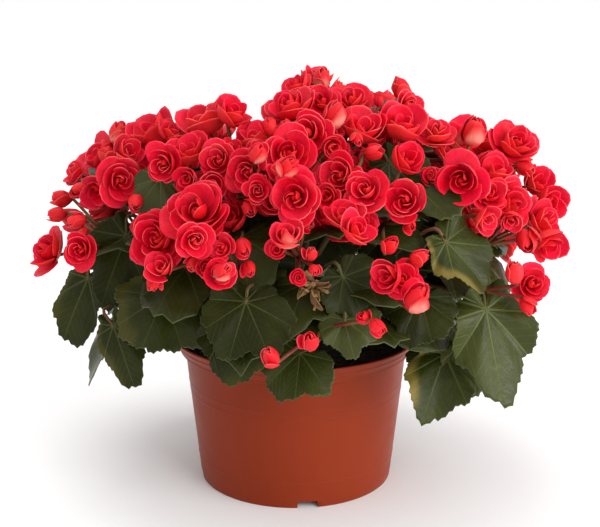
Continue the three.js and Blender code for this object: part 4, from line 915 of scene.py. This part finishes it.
def add_bloom(skin, bloom, start_turn, draw):
    """A bloom: its petals layer by layer from the outside, its plug, and a pale petal over some."""
    kind, radius, axis = bloom["form"], bloom["radius"], bloom["axis"]
    form = kind
    if kind == "rose" and bloom["grid"] == "filler":
        form = "filler_rose"
    elif kind == "rose" and radius >= FULL_ROSE_RADIUS:
        form = "full_rose"
    layers, grid = PETAL_LAYERS[form], PETAL_GRIDS[bloom["grid"]]
    helper = np.array([1.0, 0, 0]) if abs(axis[2]) > STEEP else np.array([0, 0, 1.0])
    across = unit(np.cross(helper, axis))
    beside = np.cross(axis, across)
    basis = np.array([across, beside, axis])

    def place(local):
        return bloom["at"] + PETAL_SPREAD * radius * local @ basis

    foot = PETAL_FOOT * TAIL[kind]
    tone = draw()
    for k, layer in enumerate(layers):
        count = layer[0]
        sways = k > 0 and kind != "bud"
        sway = [LAYER_SWAY * (draw() - 0.5), LAYER_SWAY * (draw() - 0.5)] if sways else [0, 0]
        for i in range(count):
            turned = i + LAYER_TURN * k + TURN_VARIETY * (draw() - 0.5)
            turn = start_turn + math.tau * turned / count
            pale = float(k == 0 and bloom["pale"] and draw() < PALE_SHARE)
            tint = [0, 0.5 * tone + 0.5 * draw(), pale, k / len(layers)]
            add_petal(skin, place, layer, foot + LAYER_STEP * k, sway, turn, draw, tint, grid)
    if kind != "bud":
        top = CORE_TOP[kind]
        core = [place(np.array([0, 0, z])) for z in (CORE_FOOT * foot, top - CORE_NECK, top)]
        add_tube(skin, core, CORE_RADII * radius, 8, CORE_TINT)
    if bloom["pale"]:
        down = math.atan2(-PICTURE_UP.dot(beside), -PICTURE_UP.dot(across))
        turn = down + COVER_VARIETY * (draw() - 0.5)
        add_petal(skin, place, COVER_PETAL, foot, [0, 0], turn, draw, [0, tone, 1, 0], grid)


# Leaves

def leaf_reach(angle, width):
    """The outline of an oblique heart shape: its reach from the stalk's end in a direction."""
    round_part, long_part, waist = BLADE_HEART
    heart = round_part + long_part * np.cos(angle) + waist * np.cos(2 * angle)
    sinus = 1 - BLADE_SINUS * np.exp(-(((math.pi - np.abs(angle)) / SINUS_WIDTH) ** 2))
    oblique = 1 + BLADE_OBLIQUE * np.sin(angle)
    across = 1 / np.hypot(np.cos(angle), np.sin(angle) / width)
    point = 1 + BLADE_TIP * np.exp(-((angle / TIP_WIDTH) ** 2))
    return heart * sinus * oblique * across * point


def edge_reach(angle, phases, share):
    """How far the lobes, scallops and teeth reach, as a share of the plain outline's reach."""
    lobes = sum(depth * np.sin(count * angle + phase) for (depth, count), phase in zip(LEAF_LOBES, phases))
    lobes = lobes + LEAF_SCALLOP * np.abs(np.sin(MAIN_VEINS * angle + phases[2]))
    uneven = 0.5 + 0.5 * np.sin(UNEVEN_TEETH * angle + phases[3])
    teeth = LEAF_TOOTH * (np.arange(len(angle)) % 2 * 2 - 1) * (0.5 + uneven)
    return 1 + lobes * share ** 2 + teeth * share ** 6


def blade_height(leaf, along, across, angle, edge, ruffle_phase):
    """How high each point of a leaf lies over the flat: droop, waves, folds at the veins, ruffled edge."""
    length = leaf["length"]
    height = -leaf["droop"] * (along * np.abs(along) + 0.6 * across * across) / length
    depth, waves = LEAF_WAVE
    height = height + depth * leaf["wave"] * length * edge ** 2 * np.sin(waves * angle + length)
    sector = math.tau / MAIN_VEINS
    fold = np.abs((angle / sector + 0.5) % 1 - 0.5) * 2
    height = height + LEAF_FOLD * length * edge * (fold - 0.5)
    depth, waves = LEAF_RUFFLE
    return height + depth * length * edge ** 4 * np.sin(waves * angle + ruffle_phase)


def add_leaf(skin, leaf, draw, shares, count):
    """A blade with soft lobes and fine teeth, sunk a little along its main veins and waved at its edge."""
    length = leaf["length"]
    even = -math.pi + math.tau * (np.arange(count) + 0.5) / count
    angle = even + TIP_CROWDING * np.cos(even / 2)
    phases = [math.tau * draw() for _ in range(5)]
    share = shares[:, None]
    reach = length * leaf_reach(angle, leaf["width"]) * edge_reach(angle, phases, share)
    along, across = share * reach * np.cos(angle), share * reach * np.sin(angle)
    edge = share + 0 * angle
    height = blade_height(leaf, along, across, angle, edge, phases[4])
    side = np.cross(leaf["face"], leaf["tip"])
    points = leaf["at"] + along[..., None] * leaf["tip"] + across[..., None] * side
    points = (points + height[..., None] * leaf["face"]).reshape(-1, 3)
    under = points - LEAF_THICKNESS * leaf["face"]
    coordinates = (np.stack([along, across], axis=-1) / (LEAF_SPAN * length) + 0.5).reshape(-1, 2)
    total = len(points)
    tints = np.empty((2 * total, 4))
    tints[:, 0] = np.tile(edge.ravel(), 2)
    tints[:, 1] = leaf["tone"]
    tints[:, 2] = np.arange(2 * total) >= total
    tints[:, 3] = leaf["yellow"]
    top = grid_faces(len(shares), count, around=True)[:, ::-1]
    middle = np.arange(count)
    outer = middle + total - count
    after = np.roll(outer, -1)
    rim = np.stack([outer, after, after + total, outer + total], axis=-1)[:, ::-1]
    faces = [top, top[:, ::-1] + total, rim, middle[None], middle[None, ::-1] + total]
    skin.add(np.concatenate([points, under]), faces, np.tile(coordinates, (2, 1)), tints)


# Materials

# Colours by name, as linear red, green and blue
COLORS = {
    # The pinker red in patches on the petals is a painted sheen
    "deep red": (0.72, 0.001, 0.018), "bright red": (0.96, 0.008, 0.05), "painted sheen pink": (0.98, 0.04, 0.09),
    "deep back": (0.66, 0.003, 0.012), "bright back": (0.94, 0.03, 0.03), "pale back": (0.9, 0.27, 0.21),
    # The dark red that petals take towards their foot is painted shade, deep in the bloom
    "painted shade red": (0.4, 0.0, 0.008), "streak red": (0.5, 0.001, 0.01), "pink rim": (0.95, 0.15, 0.16),
    "dark green": (0.007, 0.008, 0.001), "mid green": (0.044, 0.055, 0.006),
    "dull light": (0.028, 0.031, 0.004), "light green": (0.08, 0.096, 0.022),
    "vein": (0.2, 0.25, 0.07), "yellowed": (0.23, 0.17, 0.035), "leaf rim": (0.14, 0.14, 0.04),
    "underside": (0.085, 0.11, 0.05),
    "red stalk": (0.13, 0.018, 0.012), "brown stalk": (0.15, 0.08, 0.028),
    "green stalk": (0.075, 0.075, 0.025), "rusty stalk": (0.12, 0.05, 0.025),
    "dark plastic": (0.185, 0.021, 0.005), "light plastic": (0.235, 0.03, 0.009),
    "straw": (0.25, 0.17, 0.045), "dry brown": (0.24, 0.11, 0.045), "dark brown": (0.12, 0.055, 0.02),
    "dark soil": (0.011, 0.007, 0.005), "light soil": (0.05, 0.03, 0.018),
    "floor shade": (0.93, 0.93, 0.93), "floor light": (0.96, 0.96, 0.96),
}


class Graph:
    """A material's node tree. Each call adds a node and returns its output."""

    def __init__(self, name):
        self.material = bpy.data.materials.new(name)
        self.material.use_nodes = True
        self.tree = self.material.node_tree
        self.shader = self.tree.nodes["Principled BSDF"]

    def feed(self, socket, value):
        """Links another node's output to a socket, or sets it to a number or a named colour."""
        if isinstance(value, bpy.types.NodeSocket):
            self.tree.links.new(value, socket)
        else:
            socket.default_value = (*COLORS[value], 1) if isinstance(value, str) else value

    def node(self, kind, inputs, output=0, **settings):
        node = self.tree.nodes.new("ShaderNode" + kind)
        for name, value in settings.items():
            setattr(node, name, value)
        for socket, value in inputs.items():
            self.feed(node.inputs[socket], value)
        return node.outputs[output]

    def math(self, operation, *values):
        return self.node("Math", dict(enumerate(values)), operation=operation)

    def times(self, first, second):
        return self.math("MULTIPLY", first, second)

    def line(self, value, factor, offset):
        """The value times the factor, plus the offset."""
        return self.math("MULTIPLY_ADD", value, factor, offset)

    def noise(self, vector, scale, detail=3.0):
        return self.node("TexNoise", {"Vector": vector, "Scale": scale, "Detail": detail})

    def step(self, value, low, high, to_low=0.0, to_high=1.0):
        """Rises or falls smoothly from to_low to to_high while the value goes from low to high."""
        inputs = {"Value": value, "From Min": low, "From Max": high, "To Min": to_low, "To Max": to_high}
        return self.node("MapRange", inputs, interpolation_type="SMOOTHSTEP")

    def mix(self, share, first, second):
        return self.node("Mix", {0: share, 6: first, 7: second}, output=2, data_type="RGBA")

    def bump(self, height, strength, distance):
        inputs = {"Height": height, "Strength": strength, "Distance": distance}
        self.feed(self.shader.inputs["Normal"], self.node("Bump", inputs))

    def place(self):
        return self.node("TexCoord", {}, output="Object")

    def surface(self):
        """The texture coordinates, each from 0 to 1."""
        split = self.tree.nodes.new("ShaderNodeSeparateXYZ")
        self.feed(split.inputs[0], self.node("TexCoord", {}, output="UV"))
        return split.outputs[0], split.outputs[1]

    def tint(self):
        """The four numbers that each point carries."""
        attribute = self.tree.nodes.new("ShaderNodeAttribute")
        attribute.attribute_name = "tint"
        split = self.tree.nodes.new("ShaderNodeSeparateColor")
        self.feed(split.inputs[0], attribute.outputs["Color"])
        return split.outputs[0], split.outputs[1], split.outputs[2], attribute.outputs["Alpha"]

    def finish(self, color, values):
        self.feed(self.shader.inputs["Base Color"], color)
        for name, value in values.items():
            self.feed(self.shader.inputs[name], value)
        return self.material


def petal_material():
    """Red velvet-like petals: u goes across one and v along it, and the tint's side is 1 on its back."""
    g = Graph("petal")
    u, v = g.surface()
    side, tone, pale, _ = g.tint()
    place = g.place()
    red = g.mix(tone, "deep red", "bright red")
    # Painted sheen: patches of the inner face turn pinker, as if catching the light
    red = g.mix(g.step(g.noise(place, 45.0), 0.35, 0.75, 0, 0.4), red, "painted sheen pink")
    back = g.mix(tone, "deep back", "bright back")
    fan = g.times(g.times(g.step(v, 0.0, 0.6), g.step(v, 1.0, 0.6)), pale)
    fan = g.times(fan, g.step(g.noise(place, 70.0), 0.3, 0.6, 0.5, 0.95))
    back = g.mix(fan, back, "pale back")
    streak = g.node("CombineXYZ", {0: g.times(u, 26.0), 1: g.times(v, 2.0), 2: tone})
    streaks = g.noise(streak, 1.0, 2.0)
    # Painted shade: the inner face darkens towards the petal's foot, deep in the bloom
    red = g.mix(g.step(v, 0.75, 0.2, 0, 0.6), red, "painted shade red")
    color = g.mix(side, red, back)
    color = g.mix(g.step(streaks, 0.45, 0.72, 0, 0.3), color, "streak red")
    edge = g.math("MAXIMUM", v, g.math("ABSOLUTE", g.line(u, 2.0, -1.0)))
    rim = g.times(g.step(edge, 0.97, 1.0), g.step(g.noise(place, 38.0), 0.44, 0.66, 0.0, 0.55))
    color = g.mix(rim, color, "pink rim")
    g.bump(streaks, 0.4, 0.0007)
    return g.finish(color, {"Roughness": 0.5, "Subsurface Weight": 0.1, "Specular IOR Level": 0.2})


def leaf_material():
    """Glossy leaves, from the stalk's end outwards: main veins like a fan, and branches at each of them."""
    g = Graph("leaf")
    u, v = g.surface()
    edge, tone, under, yellow = g.tint()
    place = g.place()
    x = g.line(u, LEAF_SPAN, -0.5 * LEAF_SPAN)
    y = g.line(v, LEAF_SPAN, -0.5 * LEAF_SPAN)
    sector = math.tau / MAIN_VEINS
    off = g.math("WRAP", g.math("ARCTAN2", y, x), 0.5 * sector, -0.5 * sector)
    reach = g.math("SQRT", g.math("ADD", g.times(x, x), g.times(y, y)))
    beside = g.math("ABSOLUTE", g.times(reach, g.math("SINE", off)))
    along = g.times(reach, g.math("COSINE", off))
    main = g.step(g.math("SUBTRACT", g.line(reach, -0.012, 0.022), beside), 0.0, 0.01)
    rank = g.math("DIVIDE", g.line(beside, -1.15, along), 0.14)
    branch = g.math("ABSOLUTE", g.math("SUBTRACT", g.math("FRACT", rank), 0.5))
    branch = g.times(g.step(branch, 0.06, 0.0), g.step(reach, 0.15, 0.3))
    veins = g.math("MAXIMUM", main, g.times(branch, 0.55))
    cells = g.node("TexVoronoi", {"Vector": place, "Scale": 330.0}, feature="DISTANCE_TO_EDGE")
    # Partly painted light: the tint's lightness picks between the dark and light greens, and it was set to
    # how lit each leaf looks, lighter where the light falls from the right
    green = g.mix(tone, "dark green", "mid green")
    light = g.mix(tone, "dull light", "light green")
    green = g.mix(g.step(g.noise(place, 24.0), 0.38, 0.72, 0, 0.5), green, light)
    green = g.mix(g.times(veins, g.line(tone, 0.22, 0.11)), green, "vein")
    aged = g.times(g.times(yellow, g.step(y, -0.1, -0.3)), g.step(edge, 0.66, 0.9))
    green = g.mix(g.times(aged, g.step(g.noise(place, 34.0), 0.3, 0.44)), green, "yellowed")
    green = g.mix(g.step(edge, 0.985, 1.0, 0, 0.3), green, "leaf rim")
    color = g.mix(under, green, "underside")
    pucker = g.line(g.noise(place, 90.0), 1.6, g.times(g.step(cells, 0.0, 0.12), 0.1))
    g.bump(g.line(veins, -1.0, pucker), 0.4, 0.0012)
    return g.finish(color, {"Roughness": 0.33, "Specular IOR Level": g.line(tone, 0.26, 0.05)})


def stalk_material(name, low, high):
    g = Graph(name)
    place = g.place()
    color = g.mix(g.step(g.noise(place, 30.0), 0.35, 0.65), low, high)
    g.bump(g.noise(place, 400.0), 0.3, 0.0005)
    return g.finish(color, {"Roughness": 0.45, "Subsurface Weight": 0.05, "Specular IOR Level": 0.2})


def pot_material():
    """Dull plastic with faint moulding rings round it and a fine grain."""
    g = Graph("pot_plastic")
    place = g.place()
    color = g.mix(g.noise(place, 12.0, 6.0), "dark plastic", "light plastic")
    split = g.tree.nodes.new("ShaderNodeSeparateXYZ")
    g.feed(split.inputs[0], place)
    rings = g.node("CombineXYZ", {2: g.times(split.outputs[2], 160.0)})
    g.bump(g.line(g.noise(rings, 1.0), 0.7, g.times(g.noise(place, 700.0), 0.3)), 0.12, 0.0006)
    roughness = g.step(g.noise(place, 60.0), 0.3, 0.7, 0.36, 0.44)
    return g.finish(color, {"Roughness": roughness, "Specular IOR Level": 0.1})


def withered_material():
    g = Graph("withered")
    tone = g.tint()[1]
    place = g.place()
    color = g.mix(tone, "straw", "dry brown")
    color = g.mix(g.step(g.noise(place, 130.0), 0.4, 0.7), color, "dark brown")
    g.bump(g.noise(place, 500.0), 0.5, 0.0006)
    return g.finish(color, {"Roughness": 0.75})


def soil_material():
    g = Graph("soil")
    place = g.place()
    color = g.mix(g.step(g.noise(place, 160.0), 0.4, 0.65), "dark soil", "light soil")
    g.bump(g.noise(place, 500.0), 0.8, 0.002)
    return g.finish(color, {"Roughness": 0.95})


def floor_material():
    g = Graph("floor")
    color = g.mix(g.noise(g.place(), 300.0), "floor shade", "floor light")
    return g.finish(color, {"Roughness": 0.9})


# Pot and soil

WALL_TOP = POT_HEIGHT - COLLAR_HEIGHT
FLOOR = BOTTOM_HEIGHT + WALL
# The pot's middle and the soil's aren't single points but small rings of this radius
MIDDLE_RADIUS = 0.5
CORNER_RADIUS, CORNER_STEPS, CORNER_SHARE = 1.2, 3, 0.4
# The collar: how far in from the rim, and how far up from the wall's top or down from the pot's
COLLAR_FOOT = ((9.2, 1.6), (8.4, 2.4), (8.3, 3.6), (8.3, 4.6))
COLLAR_TOP = ((5, 9), (4.1, 8.4), (4, 7.4), (3.9, 6.4), (0, 1.2), (1.2, 0), (2.4, 0.8))
COLLAR_INSIDE = (11.2, 3)
# The slope of a notch's side, in degrees, the outline's points above it, and the least room to a column
NOTCH_SIDE, NOTCH_EDGES, COLUMN_ROOM = 0.2, (0.3, 1.2), 0.4
FOOT_EDGE = 0.2
# The soil stands a little off the pot's wall and floor
SOIL_ROOM, SOIL_LIFT, SOIL_SIDES, SOIL_RINGS, SOIL_EDGE = 0.9, 0.3, 110, 34, 3
SOIL_WALL = (40, 80, SOIL_TOP - 1.5)
# The crumbs of the soil's top: how fine they are, how high, how far sunk on average, and at most
COARSE, FINE, CRUMB_SINK, CRUMB_TOP = (0.09, 1.6), (0.31, 1.4), 0.6, 1.5
DRILL_REACH, DRILL_SIDES = 3.0, 24


def wall_radius(z, inset):
    return FOOT_RADIUS - inset + (WALL_TOP_RADIUS - FOOT_RADIUS) * z / WALL_TOP


def rounded(outline):
    """An outline with each corner rounded, as far as its sides have room."""
    result = [outline[0]]
    for before, corner, after in zip(outline, outline[1:], outline[2:]):
        before, corner, after = map(np.array, (before, corner, after))
        sides = (length_of(before - corner), length_of(after - corner))
        room = min(CORNER_RADIUS, CORNER_SHARE * min(sides))
        start, end = corner + unit(before - corner) * room, corner + unit(after - corner) * room
        for i in range(CORNER_STEPS + 1):
            t = i / CORNER_STEPS
            result.append(tuple((1 - t) ** 2 * start + 2 * t * (1 - t) * corner + t * t * end))
    return [*result, outline[-1]]


def notch_columns():
    """The azimuths of the pot's columns, with a pair at each side of each notch, and which are in one."""
    step = 360 / POT_SIDES
    half = math.degrees(0.5 * NOTCH_WIDTH / FOOT_RADIUS)
    centres = [NOTCH_FIRST + 360 * i / NOTCH_COUNT for i in range(NOTCH_COUNT)]
    columns = []
    for azimuth in (step * i for i in range(POT_SIDES)):
        off = min(abs((azimuth - centre + 180) % 360 - 180) for centre in centres)
        if abs(off - half) > COLUMN_ROOM * step:
            columns.append((azimuth, off < half))
    for centre in centres:
        for sign in (-1, 1):
            columns.append(((centre + sign * (half + NOTCH_SIDE)) % 360, False))
            columns.append(((centre + sign * half) % 360, True))
    columns.sort()
    return np.radians([azimuth for azimuth, _ in columns]), np.array([inside for _, inside in columns])


def pot_skin():
    """The pot, turned from its outline, with the notches cut into its foot."""
    foot_inside = FOOT_RADIUS - FOOT_WIDTH
    radii, heights = np.array(rounded([
        (MIDDLE_RADIUS, BOTTOM_HEIGHT), (foot_inside, BOTTOM_HEIGHT), (foot_inside, 0),
        (FOOT_RADIUS - FOOT_EDGE, 0),
        *[(wall_radius(z, 0), z) for z in [NOTCH_HEIGHT + above for above in NOTCH_EDGES]],
        *[(wall_radius(z + off, -out), z + off) for z in WALL_LINES for off, out in WALL_LINE],
        (WALL_TOP_RADIUS, WALL_TOP),
        *[(RIM_RADIUS - inset, WALL_TOP + up) for inset, up in COLLAR_FOOT],
        *[(RIM_RADIUS - inset, POT_HEIGHT - down) for inset, down in COLLAR_TOP],
        (RIM_RADIUS - COLLAR_INSIDE[0], WALL_TOP + COLLAR_INSIDE[1]),
        (wall_radius(WALL_TOP - 1, WALL), WALL_TOP - 1), (wall_radius(FLOOR, WALL), FLOOR),
        (MIDDLE_RADIUS, FLOOR),
    ])).T
    azimuths, in_notch = notch_columns()
    outside = radii > foot_inside - 0.5 * FOOT_EDGE
    rings = []
    for r, z, below in zip(radii, heights, outside & (heights < NOTCH_HEIGHT)):
        raised = np.where(in_notch & below, NOTCH_HEIGHT, z)
        outer = r > FOOT_RADIUS - 0.5 * FOOT_WIDTH
        out = np.where(in_notch & below & outer, wall_radius(NOTCH_HEIGHT, 0), r)
        rings.append(np.stack([out * np.cos(azimuths), out * np.sin(azimuths), raised], axis=-1))
    return revolved_skin(rings)


def drill_pot(pot):
    """The round drainage holes in the pot's bottom."""
    drills = Skin()
    for i in range(DRAIN_COUNT):
        angle = math.tau * i / DRAIN_COUNT
        x, y = DRAIN_RING * math.cos(angle), DRAIN_RING * math.sin(angle)
        path = [np.array([x, y, BOTTOM_HEIGHT - DRILL_REACH]), np.array([x, y, FLOOR + DRILL_REACH])]
        add_tube(drills, path, DRAIN_RADIUS, DRILL_SIDES)
    mesh = bpy.data.meshes.new("cutter")
    points = np.concatenate(drills.points) * MM
    mesh.from_pydata(points.tolist(), [], [row.tolist() for block in drills.faces for row in block])
    cutter = add_object("cutter", mesh)
    cut = pot.modifiers.new("drain", "BOOLEAN")
    cut.operation = "DIFFERENCE"
    cut.solver = "EXACT"
    cut.object = cutter
    evaluated = pot.evaluated_get(bpy.context.evaluated_depsgraph_get())
    drilled = bpy.data.meshes.new_from_object(evaluated)
    pot.modifiers.clear()
    pot.data = drilled
    bpy.data.objects.remove(cutter)


def soil_skin():
    """Compost with an uneven, crumbly top."""
    low = FLOOR + SOIL_LIFT
    outline = [(MIDDLE_RADIUS, low)]
    outline += [(wall_radius(z, WALL + SOIL_ROOM), z) for z in (low, *SOIL_WALL)]
    below_top = len(outline)
    outer = wall_radius(SOIL_TOP, WALL + SOIL_ROOM) - SOIL_EDGE
    mound = np.linspace(outer, MIDDLE_RADIUS, SOIL_RINGS)
    outline += [(r, SOIL_TOP + SOIL_MOUND * (1 - r / outer)) for r in mound]
    angles = np.arange(SOIL_SIDES) * math.tau / SOIL_SIDES
    rings = []
    for k, (r, z) in enumerate(outline):
        ring = np.stack([r * np.cos(angles), r * np.sin(angles), np.full(SOIL_SIDES, float(z))], axis=-1)
        if k >= below_top:
            for point in ring:
                crumbs = sum(high * noise.noise(point * close) for close, high in (COARSE, FINE))
                point[2] += min(CRUMB_TOP, crumbs - CRUMB_SINK)
        rings.append(ring)
    return revolved_skin(rings)


# The plant

def foot_of(bloom, share=1):
    """The point where a bloom's stalk meets it, or a share of the way there from its middle."""
    return bloom["at"] + bloom["axis"] * share * TAIL[bloom["form"]] * bloom["radius"]


def pedicel_path(bloom, fork, others=()):
    """A bloom's stalk from its foot to just short of the fork, bent clear of any others that are given."""
    foot = foot_of(bloom)
    end = fork + unit(foot - fork) * PEDICEL_START
    return clear_path(foot, end, as_things(others), 1) if others else [foot, end]


def add_pedicel(skin, bloom, path):
    """A bloom's stalk with a knot under the bloom."""
    steps, sides = (3, 6) if bloom["grid"] == "filler" else (5, 8)
    curve = smooth_path([foot_of(bloom, KNOT_DEPTH), *path], steps)
    radii = np.full(len(curve), PEDICEL_RADIUS)
    radii[:len(KNOT_RADII)] = KNOT_RADII * min(1, bloom["radius"] / KNOT_BLOOM)
    add_tube(skin, curve, radii, sides)


def turn_blooms(blooms, fork, nods):
    """The shown blooms nod a little, and none looks back at the fork."""
    for bloom in blooms:
        if bloom["shown"]:
            nod = np.array([drawn(nods, *NOD_ACROSS), 0, 0]) + drawn(nods, *NOD_UP) * PICTURE_UP
            bloom["axis"] = unit(bloom["axis"] + NOD * nod)
        turn_from_fork(bloom, fork)


def added_blooms(blooms, leaves, forks):
    """The pale buds and the small blooms between the others, each in the spray whose fork is nearest."""
    pale_buds = shown_blooms(PALE_BUDS)
    for bud in pale_buds:
        come_forward(bud, blooms)
    taken = as_things(pale_buds)
    added = [[] for _ in forks]
    for bloom in pale_buds + filler_blooms(blooms, leaves):
        crowded = is_crowded(bloom["at"], bloom["radius"], taken, FILLER_ROOM)
        if bloom["shown"] or not (crowded or in_gap(bloom["at"])):
            added[int(np.argmin(distances(bloom["at"], forks)))].append(bloom)
    return added


def build_sprays(leaves, materials):
    """All sprays. Returns the solids' blooms, and each spray's stalk start, fork and stalks."""
    draw = draws(CLUSTER_SEED)
    sprays = [(name, shown_blooms(rows)) for name, rows in SHOWN_SPRAYS.items()]
    sprays += [(name, other_blooms(*row, draw)) for name, row in OTHER_SPRAYS.items()]
    blooms = [bloom for _, own in sprays for bloom in own]
    settle(blooms)
    frames = [spray_frame(own) for _, own in sprays]
    added = added_blooms(blooms, leaves, np.array([fork for _, fork in frames]))
    layout = []
    for k, (name, own) in enumerate(sprays):
        base, fork = frames[k]
        turn_blooms(own, fork, draws(NOD_SEED + k))
        stalks = [[base, fork]]
        for bloom in own:
            others = [] if name in STRAIGHT_SPRAYS else [other for other in blooms if other is not bloom]
            stalks.append(pedicel_path(bloom, fork, others))
        layout.append((base, fork, stalks))
        petals, stems = Skin(), Skin()
        add_tube(stems, stalks[0], STALK_RADIUS, 10)
        paths = stalks[1:] + [pedicel_path(bloom, fork) for bloom in added[k]]
        turns = draws(TURN_SEED + k)
        for bloom, path in zip(own + added[k], paths):
            start_turn = math.tau * turns()
            seed = BLOOM_SEED + BLOOM_SEED_STEP * k + int(BLOOM_SEED_TURNS * start_turn)
            add_bloom(petals, bloom, start_turn, draws(seed))
            add_pedicel(stems, bloom, path)
        petals.piece(f"petals_{name}", materials["petal"], "petal", f"spray_{name}")
        stems.piece(f"stalks_{name}", materials["stalk"], "green", f"spray_{name}")
    return blooms, layout


def build_leaves(groups, blooms, layout, materials):
    """The crown, its main stems with a branch to each spray, and the leaves with their stalks."""
    stalks = [beads(path) for *_, paths in layout for path in paths]
    things = np.concatenate([as_things(blooms), *stalks])
    stems = [stem_path(*row) for row in STEMS]
    joints = [joint for path in stems for joint in stem_joints(*path)]
    all_joints = list(joints)
    green = Skin()
    crown = [np.array([0, 0, CROWN_FOOT + 1.0]), np.array([0, 0, CROWN_TOP + 0.0])]
    add_tube(green, crown, [CROWN_RADIUS, CROWN_TAPER * CROWN_RADIUS], 16)
    for path in stems:
        add_tube(green, smooth_path(path, 6), STEM_RADIUS, 10)
    for base, fork, _ in layout:
        others = things[distances(base, things) > BRANCH_OWN]
        path = path_to_joint(base + unit(fork - base), joints, others, 1)
        add_tube(green, smooth_path(path, 6), BRANCH_RADIUS, 8)
    draw = draws(LEAF_SEED)
    for name, leaves in groups.items():
        inner = name == "leaves_inner"
        skin = Skin()
        for leaf in leaves:
            if inner:
                first = leaf["at"] - leaf["tip"] * INNER_STALK
                away = [length_of(joint - first) for joint in all_joints]
                path = [first, all_joints[int(np.argmin(away))]]
            else:
                path = petiole_path(leaf, joints, things)
            start = leaf["at"] + leaf["tip"] * PETIOLE_INSET - leaf["face"]
            add_tube(green, smooth_path([start, *path], 5), PETIOLE_RADIUS, 8)
            add_leaf(skin, leaf, draw, *(INNER_LEAF_GRID if inner else LEAF_GRID))
        skin.piece(name, materials["leaf"], "green", "leafy_stems")
    green.piece("stems", materials["green_stalk"], "green", "leafy_stems")


def build_withered(material):
    """Dried petals and stalk stubs on an old stalk, low in the middle of the plant."""
    draw = draws(WITHERED_SEED)
    skin = Skin()
    hub = seen_at(*WITHERED_HUB)
    path = [hub, seen_at(*WITHERED_BEND), np.array([0, 0, CROWN_TOP - WITHERED_ROOT])]
    add_tube(skin, smooth_path(path, 6), WITHERED_RADIUS, 8, WITHERED_TINT)
    v, u = np.linspace(0, 1, 8)[:, None], np.linspace(-1, 1, 7)[None, :]
    for k in range(WITHERED_COUNT):
        way = unit(np.array([drawn(draw, *row) for row in WITHERED_WAY]))
        side = unit(np.cross(way, [draw() - 0.5, draw(), 1]))
        out = np.cross(side, way)
        length, width = drawn(draw, *WITHERED_LENGTH), drawn(draw, *WITHERED_WIDTH)
        curl = drawn(draw, *WITHERED_CURL)
        wide = width * np.sin(math.pi * (0.06 + 0.86 * v)) ** 0.7
        crumple = WITHERED_CRUMPLE * np.sin(7 * v + 3 * u + 6 * draw()) * v
        height = curl * 0.5 * length * v ** 2 + WITHERED_FOLD * wide * np.abs(u) + crumple
        start = hub + 2 * way * draw() + out * (draw() - 0.5)
        points = start + (length * v + 0 * u)[..., None] * way + (wide * u)[..., None] * side
        add_sheet(skin, points + height[..., None] * out, v, u, [0, draw(), 0, 1])
        if k % WITHERED_STUB_EVERY == 0:
            stub = [hub, hub + 0.6 * length * way, hub + length * way + WITHERED_STUB_TIP * out]
            add_tube(skin, smooth_path(stub, 4), WITHERED_STUB_RADIUS, 7, WITHERED_STUB_TINT)
    skin.piece("withered_stalk", material, "green")


# Camera, floor and light

CLIP_END = 20
# Where the lights point, and each one's place, size and power
LIGHT_TARGET = (0, 0, 0.2)
LIGHTS = {
    "key": ((1.5, -2.1, 1.3), 1.4, 30),
    "side": ((2.1, -1.0, 0.4), 1.2, 31),
    "top": ((-0.2, 0.3, 2.4), 1.4, 14),
}
FLOOR_HALF = 30.0


def build_camera():
    camera = bpy.data.cameras.new("camera")
    camera.sensor_width = SENSOR_WIDTH
    camera.lens = VIEW_FOCAL / FRAME_WIDTH * SENSOR_WIDTH
    camera.clip_end = CLIP_END
    view = add_object("camera", camera)
    view.location = (0, VIEW_Y * MM, VIEW_Z * MM)
    view.rotation_euler = (math.pi / 2 - VIEW_TILT, 0, -VIEW_YAW)
    bpy.context.scene.camera = view


def add_light(name, place, size, power):
    """A round lamp that points at the plant."""
    light = bpy.data.lights.new(name, "AREA")
    light.shape = "DISK"
    light.size = size
    light.energy = power
    lamp = add_object(name, light)
    lamp.location = place
    x, y, z = np.array(place) - np.array(LIGHT_TARGET)
    lamp.rotation_euler = (math.atan2(math.hypot(x, y), z), 0, math.atan2(y, x) + math.pi / 2)


def build_studio():
    """An even white world, three lamps and a wide pale floor."""
    world = bpy.data.worlds.new("studio")
    world.use_nodes = True
    background = world.node_tree.nodes["Background"]
    background.inputs["Color"].default_value = (1, 1, 1, 1)
    background.inputs["Strength"].default_value = 1.0
    bpy.context.scene.world = world
    bpy.context.scene.view_settings.view_transform = "Standard"
    for name, row in LIGHTS.items():
        add_light(name, *row)
    material = floor_material()
    mesh = bpy.data.meshes.new("floor")
    corners = [(x * FLOOR_HALF, y * FLOOR_HALF, 0) for x, y in ((-1, -1), (1, -1), (1, 1), (-1, 1))]
    mesh.from_pydata(corners, [], [(0, 1, 2, 3)])
    mesh.materials.append(material)
    add_object("floor", mesh)


build_camera()
build_studio()
MATERIALS = {
    "petal": petal_material(),
    "leaf": leaf_material(),
    "stalk": stalk_material("flower_stalk", "red stalk", "brown stalk"),
    "green_stalk": stalk_material("green_stalk", "green stalk", "rusty stalk"),
}
pot = pot_skin().piece("pot_shell", pot_material(), "pot", "pot")
drill_pot(pot)
soil_skin().piece("compost", soil_material(), "soil", "soil")
LEAVES = leaf_groups()
blooms, layout = build_sprays(LEAVES["leaves_front"] + LEAVES["leaves_back"], MATERIALS)
build_leaves(LEAVES, blooms, layout, MATERIALS)
build_withered(withered_material())
